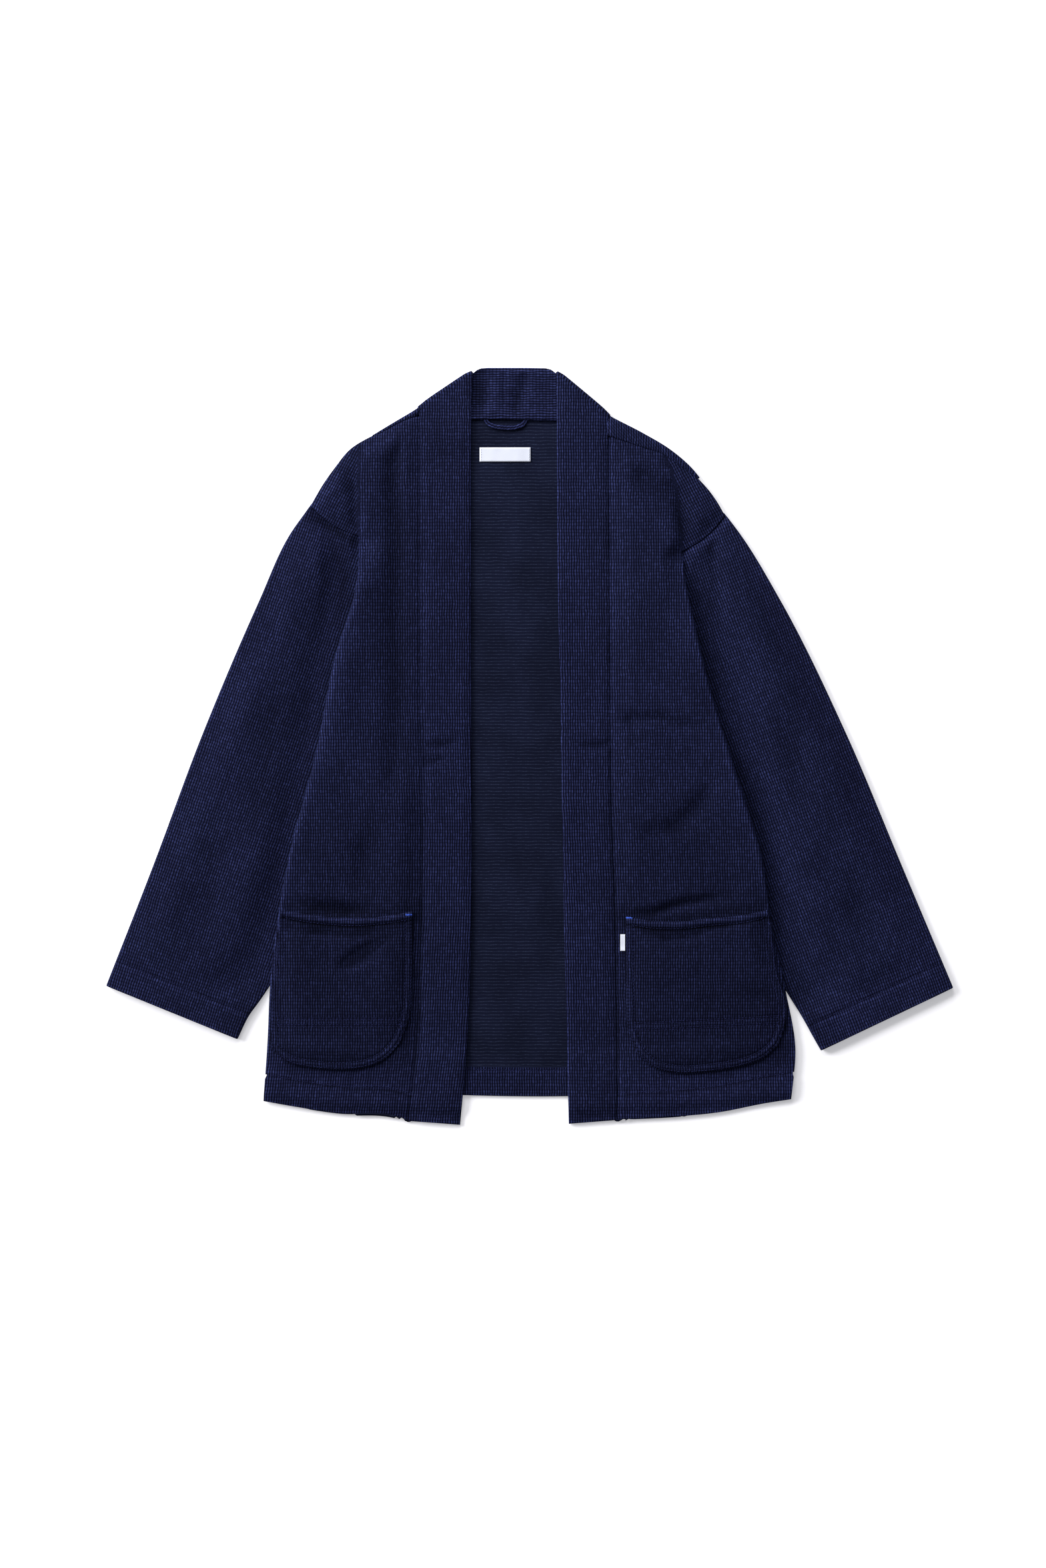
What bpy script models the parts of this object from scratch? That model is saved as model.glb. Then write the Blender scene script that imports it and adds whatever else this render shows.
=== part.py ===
"""A happi coat laid flat on its back, front side up, as its sewn pieces.

Left and right are the wearer's: the wearer's left is at +X, the collar is at +Y and +Z points up from
the surface. The origin is on that surface, in the middle of the coat. Sizes are in millimetres.
"""

import bpy
import numpy as np

MM = 0.001

# Cloth
CLOTH = 1.3
GAP = 0.3
HEM_LAYER = CLOTH + GAP
BAND_THICK = 3.0
FOLD_RADIUS = (CLOTH + 2 * GAP) / 2

# Heights of the layers that lie on each other
COLLAR_TOP = BAND_THICK
FRONT_LIFT = GAP + 2 * FOLD_RADIUS
SHOULDER_ROLL_RADIUS = (CLOTH + FRONT_LIFT) / 2
BAND_ROLL_RADIUS = (BAND_THICK + GAP) / 2
SLEEVE_PRESSED = 3.0
SLEEVE_FREE = 5.4
SLEEVE_HEAD = CLOTH + FRONT_LIFT + CLOTH
CUFF_HIGH = 6.6
POCKET_LIFT = 0.62

# Widths of the turned hems and of the cloth folded under at a front's side, and the least turned edge
BACK_HEM = 30.0
CUFF_HEM = 29.0
SIDE_RETURN = 11.0
HEM_STEP = 0.6
FOLD_END = 0.4

# A front's hem as a share of its length, which is 600 to 720 mm
FRONT_HEM_SHARE = 0.0455

# How far in from the sleeve's edge a front starts to rise over it
PRESS_WIDTH = 42.0

# Gaps along the band's seam and at the top of the sleeve, a little more than GAP because the walls slope
SEAM_GAP = 0.37
HEAD_GAP = 0.8

# Rows of the meshes
ARMHOLE_ROWS = 12
SIDE_ROWS = 5
HEAD_ROWS = 3

COLLECTION = "happi_coat"


def table(columns, *rows):
    """Rows of numbers as one array for each named column."""
    values = np.array(rows, float)
    return {name: values[:, place] for place, name in enumerate(columns.split())}


def points(rows):
    """The across and up columns of a table as plan points."""
    return np.column_stack((rows["across"], rows["up"]))


# Outlines in plan, from the hem or cuff upwards unless a comment says otherwise
BACK_HEM_LINE = table("across up", (-275, -352), (-200, -361), (-70, -366), (39, -367), (150, -361), (275, -351))
NECK_LINE = table("across up", (-117.5, 345), (-108, 343.4), (-27, 343.5), (83.5, 341.4))

SIDE_SEAM = {
    "right": table("across up", (-275, -352), (-273, -313), (-270.5, -280), (-266.5, -252)),
    "left": table("across up", (275, -351), (275.5, -320), (273, -285), (266.5, -258)),
}
ARMHOLE = {
    "right": table("across up", (-259.5, -232), (-238, -160), (-214, -40), (-195, 80), (-182, 170),
                   (-179.5, 200), (-179.5, 221)),
    "left": table("across up", (257, -240), (239, -182), (220, -75), (198, 31), (170, 128),
                  (165.2, 161), (163, 180), (161, 205)),
}
SHOULDER_POINT = {"right": (-230, 252.5), "left": (205.5, 243)}
CUFF_INNER = {
    "right": table("across up", (-306, -307), (-293, -281), (-283.5, -268), (-272, -251)),
    "left": table("across up", (305, -319), (297, -305), (286, -285), (270, -259)),
}
SLEEVE_OUTER = {
    "right": table("across up", (-444, -251), (-395.5, -127), (-343, 13), (-283.5, 153), (-251, 223),
                   (-230, 252.5)),
    "left": table("across up", (444, -253), (391, -127), (332, 13), (263, 153), (220.5, 223),
                  (205.5, 243)),
}
FRONT_FOLD = {
    "right": table("across up", (-279, -372), (-275, -313), (-272, -251), (-263, -174), (-251, -110),
                   (-224, -7), (-202, 101), (-184, 158), (-179.5, 190), (-179, 220)),
    "left": table("across up", (274, -370), (278.5, -317), (268, -255), (253, -183), (245, -122),
                  (217, -29), (187, 71), (172, 135), (166, 161), (162, 185), (160, 204)),
}
FRONT_HEM_LINE = {
    "right": table("across up", (-279, -372), (-239, -379), (-202, -384), (-146, -386), (-128.2, -391)),
    "left": table("across up", (92.8, -391), (115, -390), (156, -388), (197, -384), (248.5, -374),
                  (274, -370)),
}
# The front's upper edge, from the shoulder point along the ridge and then the forward seam to the band
FRONT_TOP_LINE = {
    "right": table("across up", (-229, 251.5), (-215.3, 274.5), (-203, 291), (-188, 308.5), (-161.5, 324.8),
                   (-148, 331.5), (-132, 338), (-116, 345)),
    "left": table("across up", (204.5, 242), (196, 257), (182, 275), (176, 281), (164, 290), (153, 297.5),
                  (138, 307), (119, 313), (83, 325)),
}
SHOULDER_RIDGE = {
    "right": table("across up", (-230, 252.5), (-216, 276), (-204, 293), (-189, 311), (-162, 328),
                   (-132, 346), (-123.5, 351)),
    "left": table("across up", (205.5, 243), (183, 276), (169, 293), (148, 311), (120, 328), (89, 344)),
}
# Where the wrapped cloth reaches the band
RIDGE_END = {"right": (-116.8, 355.4), "left": (83.8, 347)}
# The share of the ridge, from the shoulder point, past which the back wraps over to the front
WRAP_STARTS = {"right": 0.70, "left": 0.30}

BAND_SEAM = {
    "right": table("across up", (-127.5, -393), (-119, -321), (-113, -175), (-112, -85), (-115, 40),
                   (-115, 328)),
    "left": table("across up", (92, -392), (91, -290), (89, -167), (85, -49), (84, 83), (82.3, 322)),
}
BAND_EDGE = {
    "right": table("across up", (-73, -397), (-67, -331), (-62, -228), (-61, -85), (-61.5, 100),
                   (-61.5, 328)),
    "left": table("across up", (41, -396), (39, -313), (36, -181), (32, 50), (29, 218), (28.5, 322)),
}
# The band's turn over the shoulder: the last lines across it, then the ridge, then the neck stretch
BAND_TURN = {
    "right": table("seam_across seam_up edge_across edge_up", (-114.8, 334, -61.4, 340),
                   (-114, 345, -61.2, 364), (-112.5, 352.8, -61, 388)),
    "left": table("seam_across seam_up edge_across edge_up", (82, 328, 28.5, 335),
                  (81, 338, 28.3, 360), (78, 346.5, 28, 388.5)),
}
COLLAR_LAY = {
    "right": table("seam_across seam_up edge_across edge_up", (-112, 346.5, -56.5, 389.8),
                   (-100, 344.2, -50, 396.4), (-80, 344.2, -43, 397), (-54, 344.2, -36, 397),
                   (-27.2, 344.2, -27.2, 397)),
    "left": table("seam_across seam_up edge_across edge_up", (76, 342.4, 24.5, 389.8),
                  (60, 342.4, 17, 396), (36, 342.8, 4, 396.8), (4, 343.4, -11, 397),
                  (-26.8, 344.2, -26.8, 397)),
}

POCKET = {
    "right": {
        "mouth": table("across up", (-261, -170), (-239, -175), (-208, -179), (-177, -180), (-146, -177),
                       (-122.5, -173)),
        "outer": table("across up", (-271.5, -316), (-269, -251), (-264.5, -206), (-261, -170)),
        "inner": table("across up", (-136, -311), (-126, -284), (-122.5, -240), (-122.5, -173)),
        "foot": table("across up", (-271.5, -316), (-253, -331), (-228, -337), (-197, -339), (-171, -336),
                      (-152, -327.5), (-136, -311)),
    },
    "left": {
        "mouth": table("across up", (100.5, -178), (129.5, -183), (162, -183), (187, -180), (218, -177.5),
                       (248, -171)),
        "outer": table("across up", (260, -313), (268, -290), (268.5, -272), (257, -235), (250, -183),
                       (248, -171)),
        "inner": table("across up", (113, -322), (104, -300), (101, -260), (100.5, -178)),
        "foot": table("across up", (113, -322), (128, -335), (152, -342), (177, -342), (201.5, -339),
                      (222, -335), (243, -327), (260, -313)),
    },
}

# Soft folds of each front, as troughs and ridges between two places
FRONT_FOLDS = {
    "right": table("x0 y0 x1 y1 half_width height", (-140, 322, -151, 294, 10, -0.7),
                   (-151, 294, -153, 150, 13, -0.9), (-153, 150, -176, -20, 15, -0.9),
                   (-131, 250, -134, 60, 11, 0.7), (-180, 140, -205, 10, 12, 0.8),
                   (-205, -60, -190, -130, 20, 0.8)),
    "left": table("x0 y0 x1 y1 half_width height", (196, -36, 131, -75, 12, -0.9),
                  (88, 29, 148, 29, 9, -0.7), (148, 22, 176, 20, 9, -0.7), (112, 282, 140, 262, 14, -0.8),
                  (150, 240, 110, 80, 22, 0.8), (200, -20, 226, -90, 16, 0.8)),
}
SLEEVE_FOLDS = {
    "right": table("x0 y0 x1 y1 half_width height", (-209, 205, -197, 172, 10, -0.9),
                   (-300, 60, -330, -60, 22, 0.7), (-270, 100, -262, -40, 18, -0.7),
                   (-350, -90, -330, -190, 24, -0.6)),
    "left": table("x0 y0 x1 y1 half_width height", (214, 200, 228, 150, 12, -0.7),
                  (290, 50, 322, -70, 24, 0.7), (262, 60, 270, -60, 18, -0.7),
                  (350, -100, 340, -200, 24, -0.6)),
}
COLLAR_FOLDS = table("x0 y0 x1 y1 half_width height", (-6, 385, -14, 352, 5, -0.8),
                     (-36, 388, -36, 352, 5, 0.3))

LABEL = {"left": -52.5, "right": 1.0, "low": 298.5, "high": 313.5, "thick": 1.0}
TAB = {"left": 95.0, "right": 100.0, "low": -214.5, "high": -197.0, "thick": 1.0}
LOOP = {"width": 4.5, "thick": 1.2}
LOOP_LINE = table("across up", (-44, 340.6), (-36, 337), (-25, 335.6), (-13, 337), (-5.5, 340.4))


def step(value, low, high):
    """Smooth rise from 0 at low to 1 at high."""
    share = np.clip((value - low) / (high - low), 0.0, 1.0)
    return share * share * (3.0 - 2.0 * share)


def smooth(rows, shares):
    """Points at the given shares of the length of a smooth curve through a table's rows.

    Cubic Hermite pieces between the rows, with the slope at each row taken from its neighbours.
    """
    knots = points(rows)
    reach = np.concatenate(([0.0], np.cumsum(np.linalg.norm(np.diff(knots, axis=0), axis=1))))
    slope = np.gradient(knots, reach, axis=0)
    place = np.asarray(shares, float) * reach[-1]
    piece = np.clip(np.searchsorted(reach, place, side="right") - 1, 0, len(knots) - 2)
    span = (reach[piece + 1] - reach[piece])[:, None]
    part = (place - reach[piece])[:, None] / span
    start = (2 * part**3 - 3 * part**2 + 1) * knots[piece] + (part**3 - 2 * part**2 + part) * span * slope[piece]
    end = (3 * part**2 - 2 * part**3) * knots[piece + 1] + (part**3 - part**2) * span * slope[piece + 1]
    return start + end


def even(count):
    """Even shares from 0 to 1."""
    return np.linspace(0.0, 1.0, count)


def shares_of(line):
    """The share of its own length at which each point of a line lies."""
    reach = np.concatenate(([0.0], np.cumsum(np.linalg.norm(np.diff(line, axis=0), axis=1))))
    return reach / reach[-1]


def patch(bottom, top, left, right):
    """Plan points of a Coons patch between four lines of points that share their corners."""
    across = ((shares_of(bottom) + shares_of(top)) / 2)[None, :, None]
    up = ((shares_of(left) + shares_of(right)) / 2)[:, None, None]
    between_rows = (1 - up) * bottom[None] + up * top[None]
    between_columns = (1 - across) * left[:, None] + across * right[:, None]
    corners = ((1 - across) * (1 - up) * bottom[0] + across * (1 - up) * bottom[-1]
               + (1 - across) * up * top[0] + across * up * top[-1])
    return between_rows + between_columns - corners


def soft_folds(across, up, folds):
    """Height of the soft folds: each is a bell across its line that fades past the line's ends."""
    height = np.zeros(np.broadcast(across, up).shape)
    for x0, y0, x1, y1, half_width, depth in zip(*folds.values()):
        run = np.array((x1 - x0, y1 - y0))
        share = ((across - x0) * run[0] + (up - y0) * run[1]) / (run @ run)
        held = np.clip(share, 0.0, 1.0)
        away = np.hypot(across - x0 - held * run[0], up - y0 - held * run[1])
        height = height + depth * np.exp(-((away / half_width) ** 2))
    return height


def outward(line):
    """Plan normals on the left of a line's direction of travel."""
    run = np.gradient(line, axis=0)
    run = run / np.linalg.norm(run, axis=1)[:, None]
    return np.column_stack((-run[:, 1], run[:, 0]))


def back_top(across, up):
    """Top of the back panel: one layer, two in its turned-up hem, none past its edge."""
    above_hem = up - np.interp(across, BACK_HEM_LINE["across"], BACK_HEM_LINE["up"])
    layers = CLOTH + HEM_LAYER * (1 - step(above_hem, BACK_HEM + 8, BACK_HEM + 24))
    return layers * step(above_hem, -24, -10)


def sleeve_edge_across(up, side):
    """Where the sleeve's inner edge runs under the front, as a distance from the middle."""
    hem_side = points(CUFF_INNER[side])
    arm_side = points(ARMHOLE[side])
    past_cuff = hem_side[:1] * (1.13, 1.0) - (0.0, 40.0)
    line = np.vstack((past_cuff, hem_side, arm_side))
    return np.interp(up, line[:, 1], np.abs(line[:, 0]))


def under_front(across, up, side):
    """Height of what a front panel lies on: the back, or the sleeve's pressed inner edge."""
    base = back_top(across, up)
    top_of_armhole = ARMHOLE[side]["up"][-1]
    past_edge = np.abs(across) - sleeve_edge_across(up, side)
    lift = step(past_edge, -PRESS_WIDTH, 0) * step(top_of_armhole - up, 3, 24)
    return base + np.maximum(SLEEVE_PRESSED - base, 0) * lift


def front_middle(across, up, side, edge_room):
    """Height of the middle of a front panel's wall. edge_room is 0 at its edges and 1 inside."""
    waves = soft_folds(across, up, FRONT_FOLDS[side]) * edge_room
    return under_front(across, up, side) + FRONT_LIFT + CLOTH / 2 + waves


class Sheet:
    """An open sheet of quads, built from grids that share lines of points."""

    def __init__(self):
        self.points = np.zeros((0, 3))
        self.quads = np.zeros((0, 4), int)

    def add(self, grid):
        """Adds an array of points and returns their numbers in the same layout."""
        flat = grid.reshape(-1, 3)
        numbers = np.arange(len(flat)) + len(self.points)
        self.points = np.vstack((self.points, flat))
        return numbers.reshape(grid.shape[:-1])

    def join(self, numbers):
        """Joins a grid of point numbers, rows upwards and columns to the right, with quads."""
        corners = (numbers[:-1, :-1], numbers[:-1, 1:], numbers[1:, 1:], numbers[1:, :-1])
        self.quads = np.vstack((self.quads, np.stack([c.ravel() for c in corners], axis=1)))


def make_piece(name, sheet, above, below, material):
    """A closed cloth wall: the sheet's points moved out to both sides and joined at the borders."""
    spots, quads = sheet.points, sheet.quads
    diagonals = spots[quads[:, 2]] - spots[quads[:, 0]], spots[quads[:, 3]] - spots[quads[:, 1]]
    faces = np.cross(*diagonals)
    normals = np.zeros_like(spots)
    unit_faces = faces / np.linalg.norm(faces, axis=1)[:, None]
    for corner in range(4):
        np.add.at(normals, quads[:, corner], unit_faces)
    normals = normals / np.linalg.norm(normals, axis=1)[:, None]
    lean = np.ones(len(spots))
    for corner in range(4):
        np.minimum.at(lean, quads[:, corner], np.sum(normals[quads[:, corner]] * unit_faces, axis=1))
    offset = normals / np.maximum(lean, 0.7)[:, None]
    outer = spots + offset * np.broadcast_to(above, len(spots))[:, None]
    inner = spots - offset * np.broadcast_to(below, len(spots))[:, None]
    outer[:, 2] = np.maximum(outer[:, 2], 0.0)
    inner[:, 2] = np.maximum(inner[:, 2], 0.0)
    count = len(spots)
    edges = np.vstack([np.column_stack((quads[:, c], quads[:, (c + 1) % 4])) for c in range(4)])
    paired = set(map(tuple, edges))
    borders = [(b, a, a + count, b + count) for a, b in paired if (b, a) not in paired]
    borders.sort()
    all_faces = np.vstack((quads, quads[:, ::-1] + count, np.array(borders)))
    mesh = bpy.data.meshes.new(name)
    mesh.from_pydata(np.vstack((outer, inner)) * MM, [], all_faces.tolist())
    mesh.materials.append(material)
    piece = bpy.data.objects.new(name, mesh)
    bpy.data.collections[COLLECTION].objects.link(piece)
    return piece


def make_material(name, colour, roughness):
    """A plain dyed finish."""
    material = bpy.data.materials.new(name)
    material.use_nodes = True
    shader = material.node_tree.nodes["Principled BSDF"]
    shader.inputs["Base Color"].default_value = (*colour, 1.0)
    shader.inputs["Roughness"].default_value = roughness
    shader.inputs["Metallic"].default_value = 0.0
    return material


def with_height(plan, height):
    """Plan points and their heights as points in space."""
    return np.concatenate((plan, np.broadcast_to(height, plan.shape[:-1])[..., None]), axis=-1)


def head_rows(side, start, count):
    """Points from the top of the armhole, or another start, straight to the shoulder point."""
    finish = np.array(SHOULDER_POINT[side])
    shares = even(count + 1)[1:, None]
    return (1 - shares) * start + shares * finish


def armhole_line(side):
    """The armhole's points, which the back and the sleeve share."""
    return smooth(ARMHOLE[side], even(ARMHOLE_ROWS))


def side_line(side):
    """The back's side: hem, side seam, armhole and out to the shoulder point."""
    seam = smooth(SIDE_SEAM[side], even(SIDE_ROWS))
    armhole = armhole_line(side)
    line = np.vstack((seam, armhole, head_rows(side, armhole[-1], HEAD_ROWS)))
    inset = np.array((GAP, 0.0)) if side == "right" else np.array((-GAP, 0.0))
    return line + inset


def make_back(material):
    """The back panel: hem turned up inside, wrapped over the shoulders to the forward seams."""
    sheet = Sheet()
    ridge_columns, neck_columns = 12, 6
    roll = SHOULDER_ROLL_RADIUS + CLOTH / 2
    right_ridge = smooth(SHOULDER_RIDGE["right"], even(ridge_columns))
    left_ridge = smooth(SHOULDER_RIDGE["left"], even(ridge_columns))[::-1]
    right_out, left_out = outward(right_ridge), outward(left_ridge)
    neck = smooth(NECK_LINE, even(neck_columns))
    top = np.vstack((right_ridge - roll * right_out, neck, left_ridge - roll * left_out))
    right_side, left_side = side_line("right"), side_line("left")
    top[0], top[-1] = right_side[-1], left_side[-1]
    hem_shares = np.interp(top[:, 0], (top[0, 0], -115, 82, top[-1, 0]), (0, 0.3, 0.64, 1))
    bottom = smooth(BACK_HEM_LINE, hem_shares)
    right_side[0], left_side[0] = bottom[0], bottom[-1]
    plan = patch(bottom, top, right_side, left_side)
    turned = np.array((0.0, BACK_HEM / 2, BACK_HEM, BACK_HEM + HEM_STEP))
    rise = plan[2] - plan[0]
    rise = rise / np.linalg.norm(rise, axis=1)[:, None]
    low_rows = plan[0][None] + rise[None] * turned[:, None, None]
    plan = np.concatenate((low_rows, plan[2:]), axis=0)
    numbers = sheet.add(with_height(plan, CLOTH / 2))
    sheet.join(numbers)
    above = np.full(numbers.size, CLOTH / 2)
    above[numbers[:3].ravel()] += HEM_LAYER

    for side, ridge, out, first in (("right", right_ridge, right_out, 0),
                                    ("left", left_ridge, left_out, ridge_columns + neck_columns)):
        share = shares_of(ridge) if side == "right" else shares_of(ridge[::-1])[::-1]
        chosen = np.flatnonzero(share >= WRAP_STARTS[side])
        row = numbers[-1, first + chosen]
        ends_at = -1 if side == "right" else 0
        normal = out[chosen]
        extra = np.array(RIDGE_END[side]) - roll * normal[ends_at]
        place = len(row) if side == "right" else 0
        start = np.insert(top[first + chosen], place, extra, axis=0)
        normal = np.insert(normal, place, normal[ends_at], axis=0)
        extra_number = sheet.add(with_height(extra[None], CLOTH / 2))
        above = np.append(above, CLOTH / 2)
        row = np.insert(row, place, extra_number)
        turns = np.radians((45, 90, 135, 180))[:, None, None]
        over = start[None] + normal[None] * SHOULDER_ROLL_RADIUS * np.sin(turns)
        lift = CLOTH / 2 + SHOULDER_ROLL_RADIUS * (1 - np.cos(turns[..., 0]))
        rolled = with_height(over, np.broadcast_to(lift, over.shape[:-1]))
        seam_line = smooth(FRONT_TOP_LINE[side], even(60))
        seam_line = seam_line[np.argsort(seam_line[:, 0])]
        seam_up = np.interp(start[:, 0], seam_line[:, 0], seam_line[:, 1]) + 2.6 * GAP
        seam_up = np.minimum(seam_up, start[:, 1] - 0.5)
        seam = np.column_stack((start[:, 0], seam_up))
        strip = np.stack(((start + seam) / 2, seam))
        flat_top = with_height(strip, CLOTH / 2 + 2 * SHOULDER_ROLL_RADIUS)
        added = sheet.add(np.concatenate((rolled, flat_top)))
        sheet.join(np.vstack((row[None], added)))
        above = np.concatenate((above, np.full(added.size, CLOTH / 2)))
    make_piece("back", sheet, above, CLOTH / 2, material)


def front_rows():
    """Shares of a front's length at which its rows lie, close together at the hem's edge."""
    hem = np.array((0, 0.5, 1, 1.02)) * FRONT_HEM_SHARE
    return np.concatenate((hem, np.linspace(0.075, 1.0, 23)))


def front_plan(side):
    """Plan points of a front panel: rows up from the hem, columns to the right."""
    columns = 13
    rolled = FOLD_RADIUS + CLOTH / 2
    fold = smooth(FRONT_FOLD[side], front_rows())
    into = 1 if side == "right" else -1
    away = outward(fold) * into
    fold = fold - away * rolled
    side_edge = np.vstack((fold, head_rows(side, fold[-1], HEAD_ROWS)))
    side_edge[-1] = points(FRONT_TOP_LINE[side])[0]
    seam_high = points(FRONT_TOP_LINE[side])[-1]
    seam_shares = np.concatenate((front_rows() * 0.93, (0.955, 0.98, 1.0)))
    seam = smooth(BAND_SEAM[side], seam_shares)
    seam[:, 0] -= into * SEAM_GAP
    rise = (seam_high[1] - seam[-1, 1]) * seam_shares**6
    seam[:, 1] += rise
    seam[-1] = seam_high
    hem = smooth(FRONT_HEM_LINE[side], even(columns))
    if side == "right":
        top = smooth(FRONT_TOP_LINE[side], even(columns))
        hem[0], seam[0] = side_edge[0], hem[-1]
        return patch(hem, top, side_edge, seam)
    top = smooth(FRONT_TOP_LINE[side], even(columns))[::-1]
    hem[-1], seam[0] = side_edge[0], hem[0]
    return patch(hem, top, seam, side_edge)


def make_front(side, material):
    """A front panel with its turned-up hem and its folded side edge."""
    sheet = Sheet()
    plan = front_plan(side)
    rows, columns = plan.shape[:2]
    fold_rows = len(front_rows())
    from_side = np.arange(columns) if side == "right" else np.arange(columns)[::-1]
    room = np.minimum(from_side, columns - 1 - from_side)[None, :]
    room = np.minimum(room, np.minimum(np.arange(rows) - 4, rows - 2 - np.arange(rows))[:, None])
    room = np.clip(room / 2.0, 0.0, 1.0)
    height = front_middle(plan[..., 0], plan[..., 1], side, room)
    grid = with_height(plan, height)
    numbers = sheet.add(grid)
    sheet.join(numbers)
    below = np.full(numbers.size, CLOTH / 2)
    below[numbers[:3].ravel()] += HEM_LAYER

    # The side edge turns under, and over the sleeve the turned cloth runs on inwards
    edge_column = 0 if side == "right" else -1
    into = 1 if side == "right" else -1
    start = grid[3:fold_rows, edge_column]
    away = outward(start[:, :2]) * into
    top_of_armhole = ARMHOLE[side]["up"][-1]
    tucked = step(start[:, 1], -250, -222) * step(top_of_armhole - start[:, 1], 16, 44)
    angle = np.radians((45, 90, 135, 180))[:, None]
    over = start[None, :, :2] + away[None] * (FOLD_RADIUS * np.sin(angle))[..., None]
    drop = FOLD_RADIUS * (1 - np.cos(angle))
    rolled = np.concatenate((over, (start[None, :, 2] - drop)[..., None]), axis=-1)
    tail = rolled[-1].copy()
    tail[:, :2] -= away * (FOLD_END + SIDE_RETURN * tucked)[:, None]
    settled = under_front(tail[:, 0], tail[:, 1], side) - under_front(start[:, 0], start[:, 1], side)
    tail[:, 2] += settled * tucked
    added = sheet.add(np.swapaxes(np.concatenate((rolled, tail[None])), 0, 1))
    edge_numbers = numbers[3:fold_rows, edge_column][:, None]
    if side == "right":
        sheet.join(np.hstack((added[:, ::-1], edge_numbers)))
    else:
        sheet.join(np.hstack((edge_numbers, added)))
    below = np.concatenate((below, np.full(added.size, CLOTH / 2)))
    make_piece("front_" + side, sheet, CLOTH / 2, below, material)


def sleeve_high(from_edge, from_head, from_cuff):
    """Height of the flattened sleeve: pressed under the front, free outside, thicker at the cuff."""
    free = SLEEVE_PRESSED + (SLEEVE_FREE - SLEEVE_PRESSED) * step(from_edge, 26, 60)
    headed = SLEEVE_HEAD + (free - SLEEVE_HEAD) * step(from_head, 0, 26)
    return headed + (CUFF_HIGH - headed) * (1 - step(from_cuff, 32, 58))


def make_sleeve(side, material):
    """A sleeve as a flattened tube of rings, with its doubled cuff hem inside."""
    armhole = armhole_line(side)[::-1]
    cuff_side = smooth(CUFF_INNER[side], (1.0, 0.72, 0.45))
    cuff_corner = points(CUFF_INNER[side])[0]
    inner = np.vstack((armhole, cuff_side))
    run = cuff_corner - inner[-1]
    reach = np.linalg.norm(run)
    hem_shares = (reach - np.array((CUFF_HEM + HEM_STEP, CUFF_HEM))) / reach
    hem_shares = hem_shares[hem_shares > 0.05]
    last = inner[-1][None] + run[None] * np.append(hem_shares, 1.0)[:, None]
    inner = np.vstack((inner, last))
    gap_out = np.array((-GAP if side == "right" else GAP, 0.0))
    inner = inner + gap_out
    outer = smooth(SLEEVE_OUTER[side], 1 - shares_of(inner))
    inner[0] += HEAD_GAP * (inner[1] - inner[0]) / np.linalg.norm(inner[1] - inner[0])
    outer[0] += HEAD_GAP * (outer[1] - outer[0]) / np.linalg.norm(outer[1] - outer[0])
    from_head = shares_of(inner)[:, None] * np.linalg.norm(inner[0] - inner[-1])
    from_cuff = (1 - shares_of(inner))[:, None] * np.linalg.norm(inner[0] - inner[-1])
    width = np.linalg.norm(outer - inner, axis=1)[:, None]
    direction = (outer - inner) / width

    def high(away):
        return sleeve_high(away, from_head, from_cuff) - CLOTH

    edge_radius = high(np.zeros_like(width)) / 2
    far_radius = high(width) / 2
    arc = np.radians((-45, 0, 45))[None, :]
    flat_top = even(9)[None, :]
    flat_floor = even(5)[None, ::-1]
    wall = CLOTH / 2
    top_away = wall + edge_radius + flat_top * (width - edge_radius - far_radius - 2 * wall)
    floor_away = wall + edge_radius + flat_floor * (width - edge_radius - far_radius - 2 * wall)
    top_up = high(top_away)
    near_arc = wall + edge_radius * (1 - np.cos(arc))
    far_arc = width - wall - far_radius * (1 - np.cos(arc))
    away = np.hstack((near_arc, top_away, far_arc, floor_away))
    up = np.hstack((edge_radius * (1 + np.sin(arc)), top_up, far_radius * (1 - np.sin(arc)),
                    np.zeros_like(floor_away)))
    plan = inner[:, None] + direction[:, None] * away[..., None]
    room = np.clip(np.minimum(away - 26, width - away) / 30, 0, 1) * step(from_cuff, 30, 60) * step(from_head, 4, 30)
    lifted = np.zeros_like(up)
    lifted[:, 3:12] = soft_folds(plan[:, 3:12, 0], plan[:, 3:12, 1], SLEEVE_FOLDS[side]) * room[:, 3:12]
    grid = with_height(plan, up + lifted + CLOTH / 2)
    sheet = Sheet()
    numbers = sheet.add(grid)
    closed = np.hstack((numbers, numbers[:, :1]))
    sheet.join(closed if side == "right" else closed[:, ::-1])
    inside = np.full(numbers.shape, CLOTH / 2)
    inside[-2:] += CLOTH
    above, below = (CLOTH / 2, inside.ravel())
    make_piece("sleeve_" + side, sheet, above, below, material)


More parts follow.
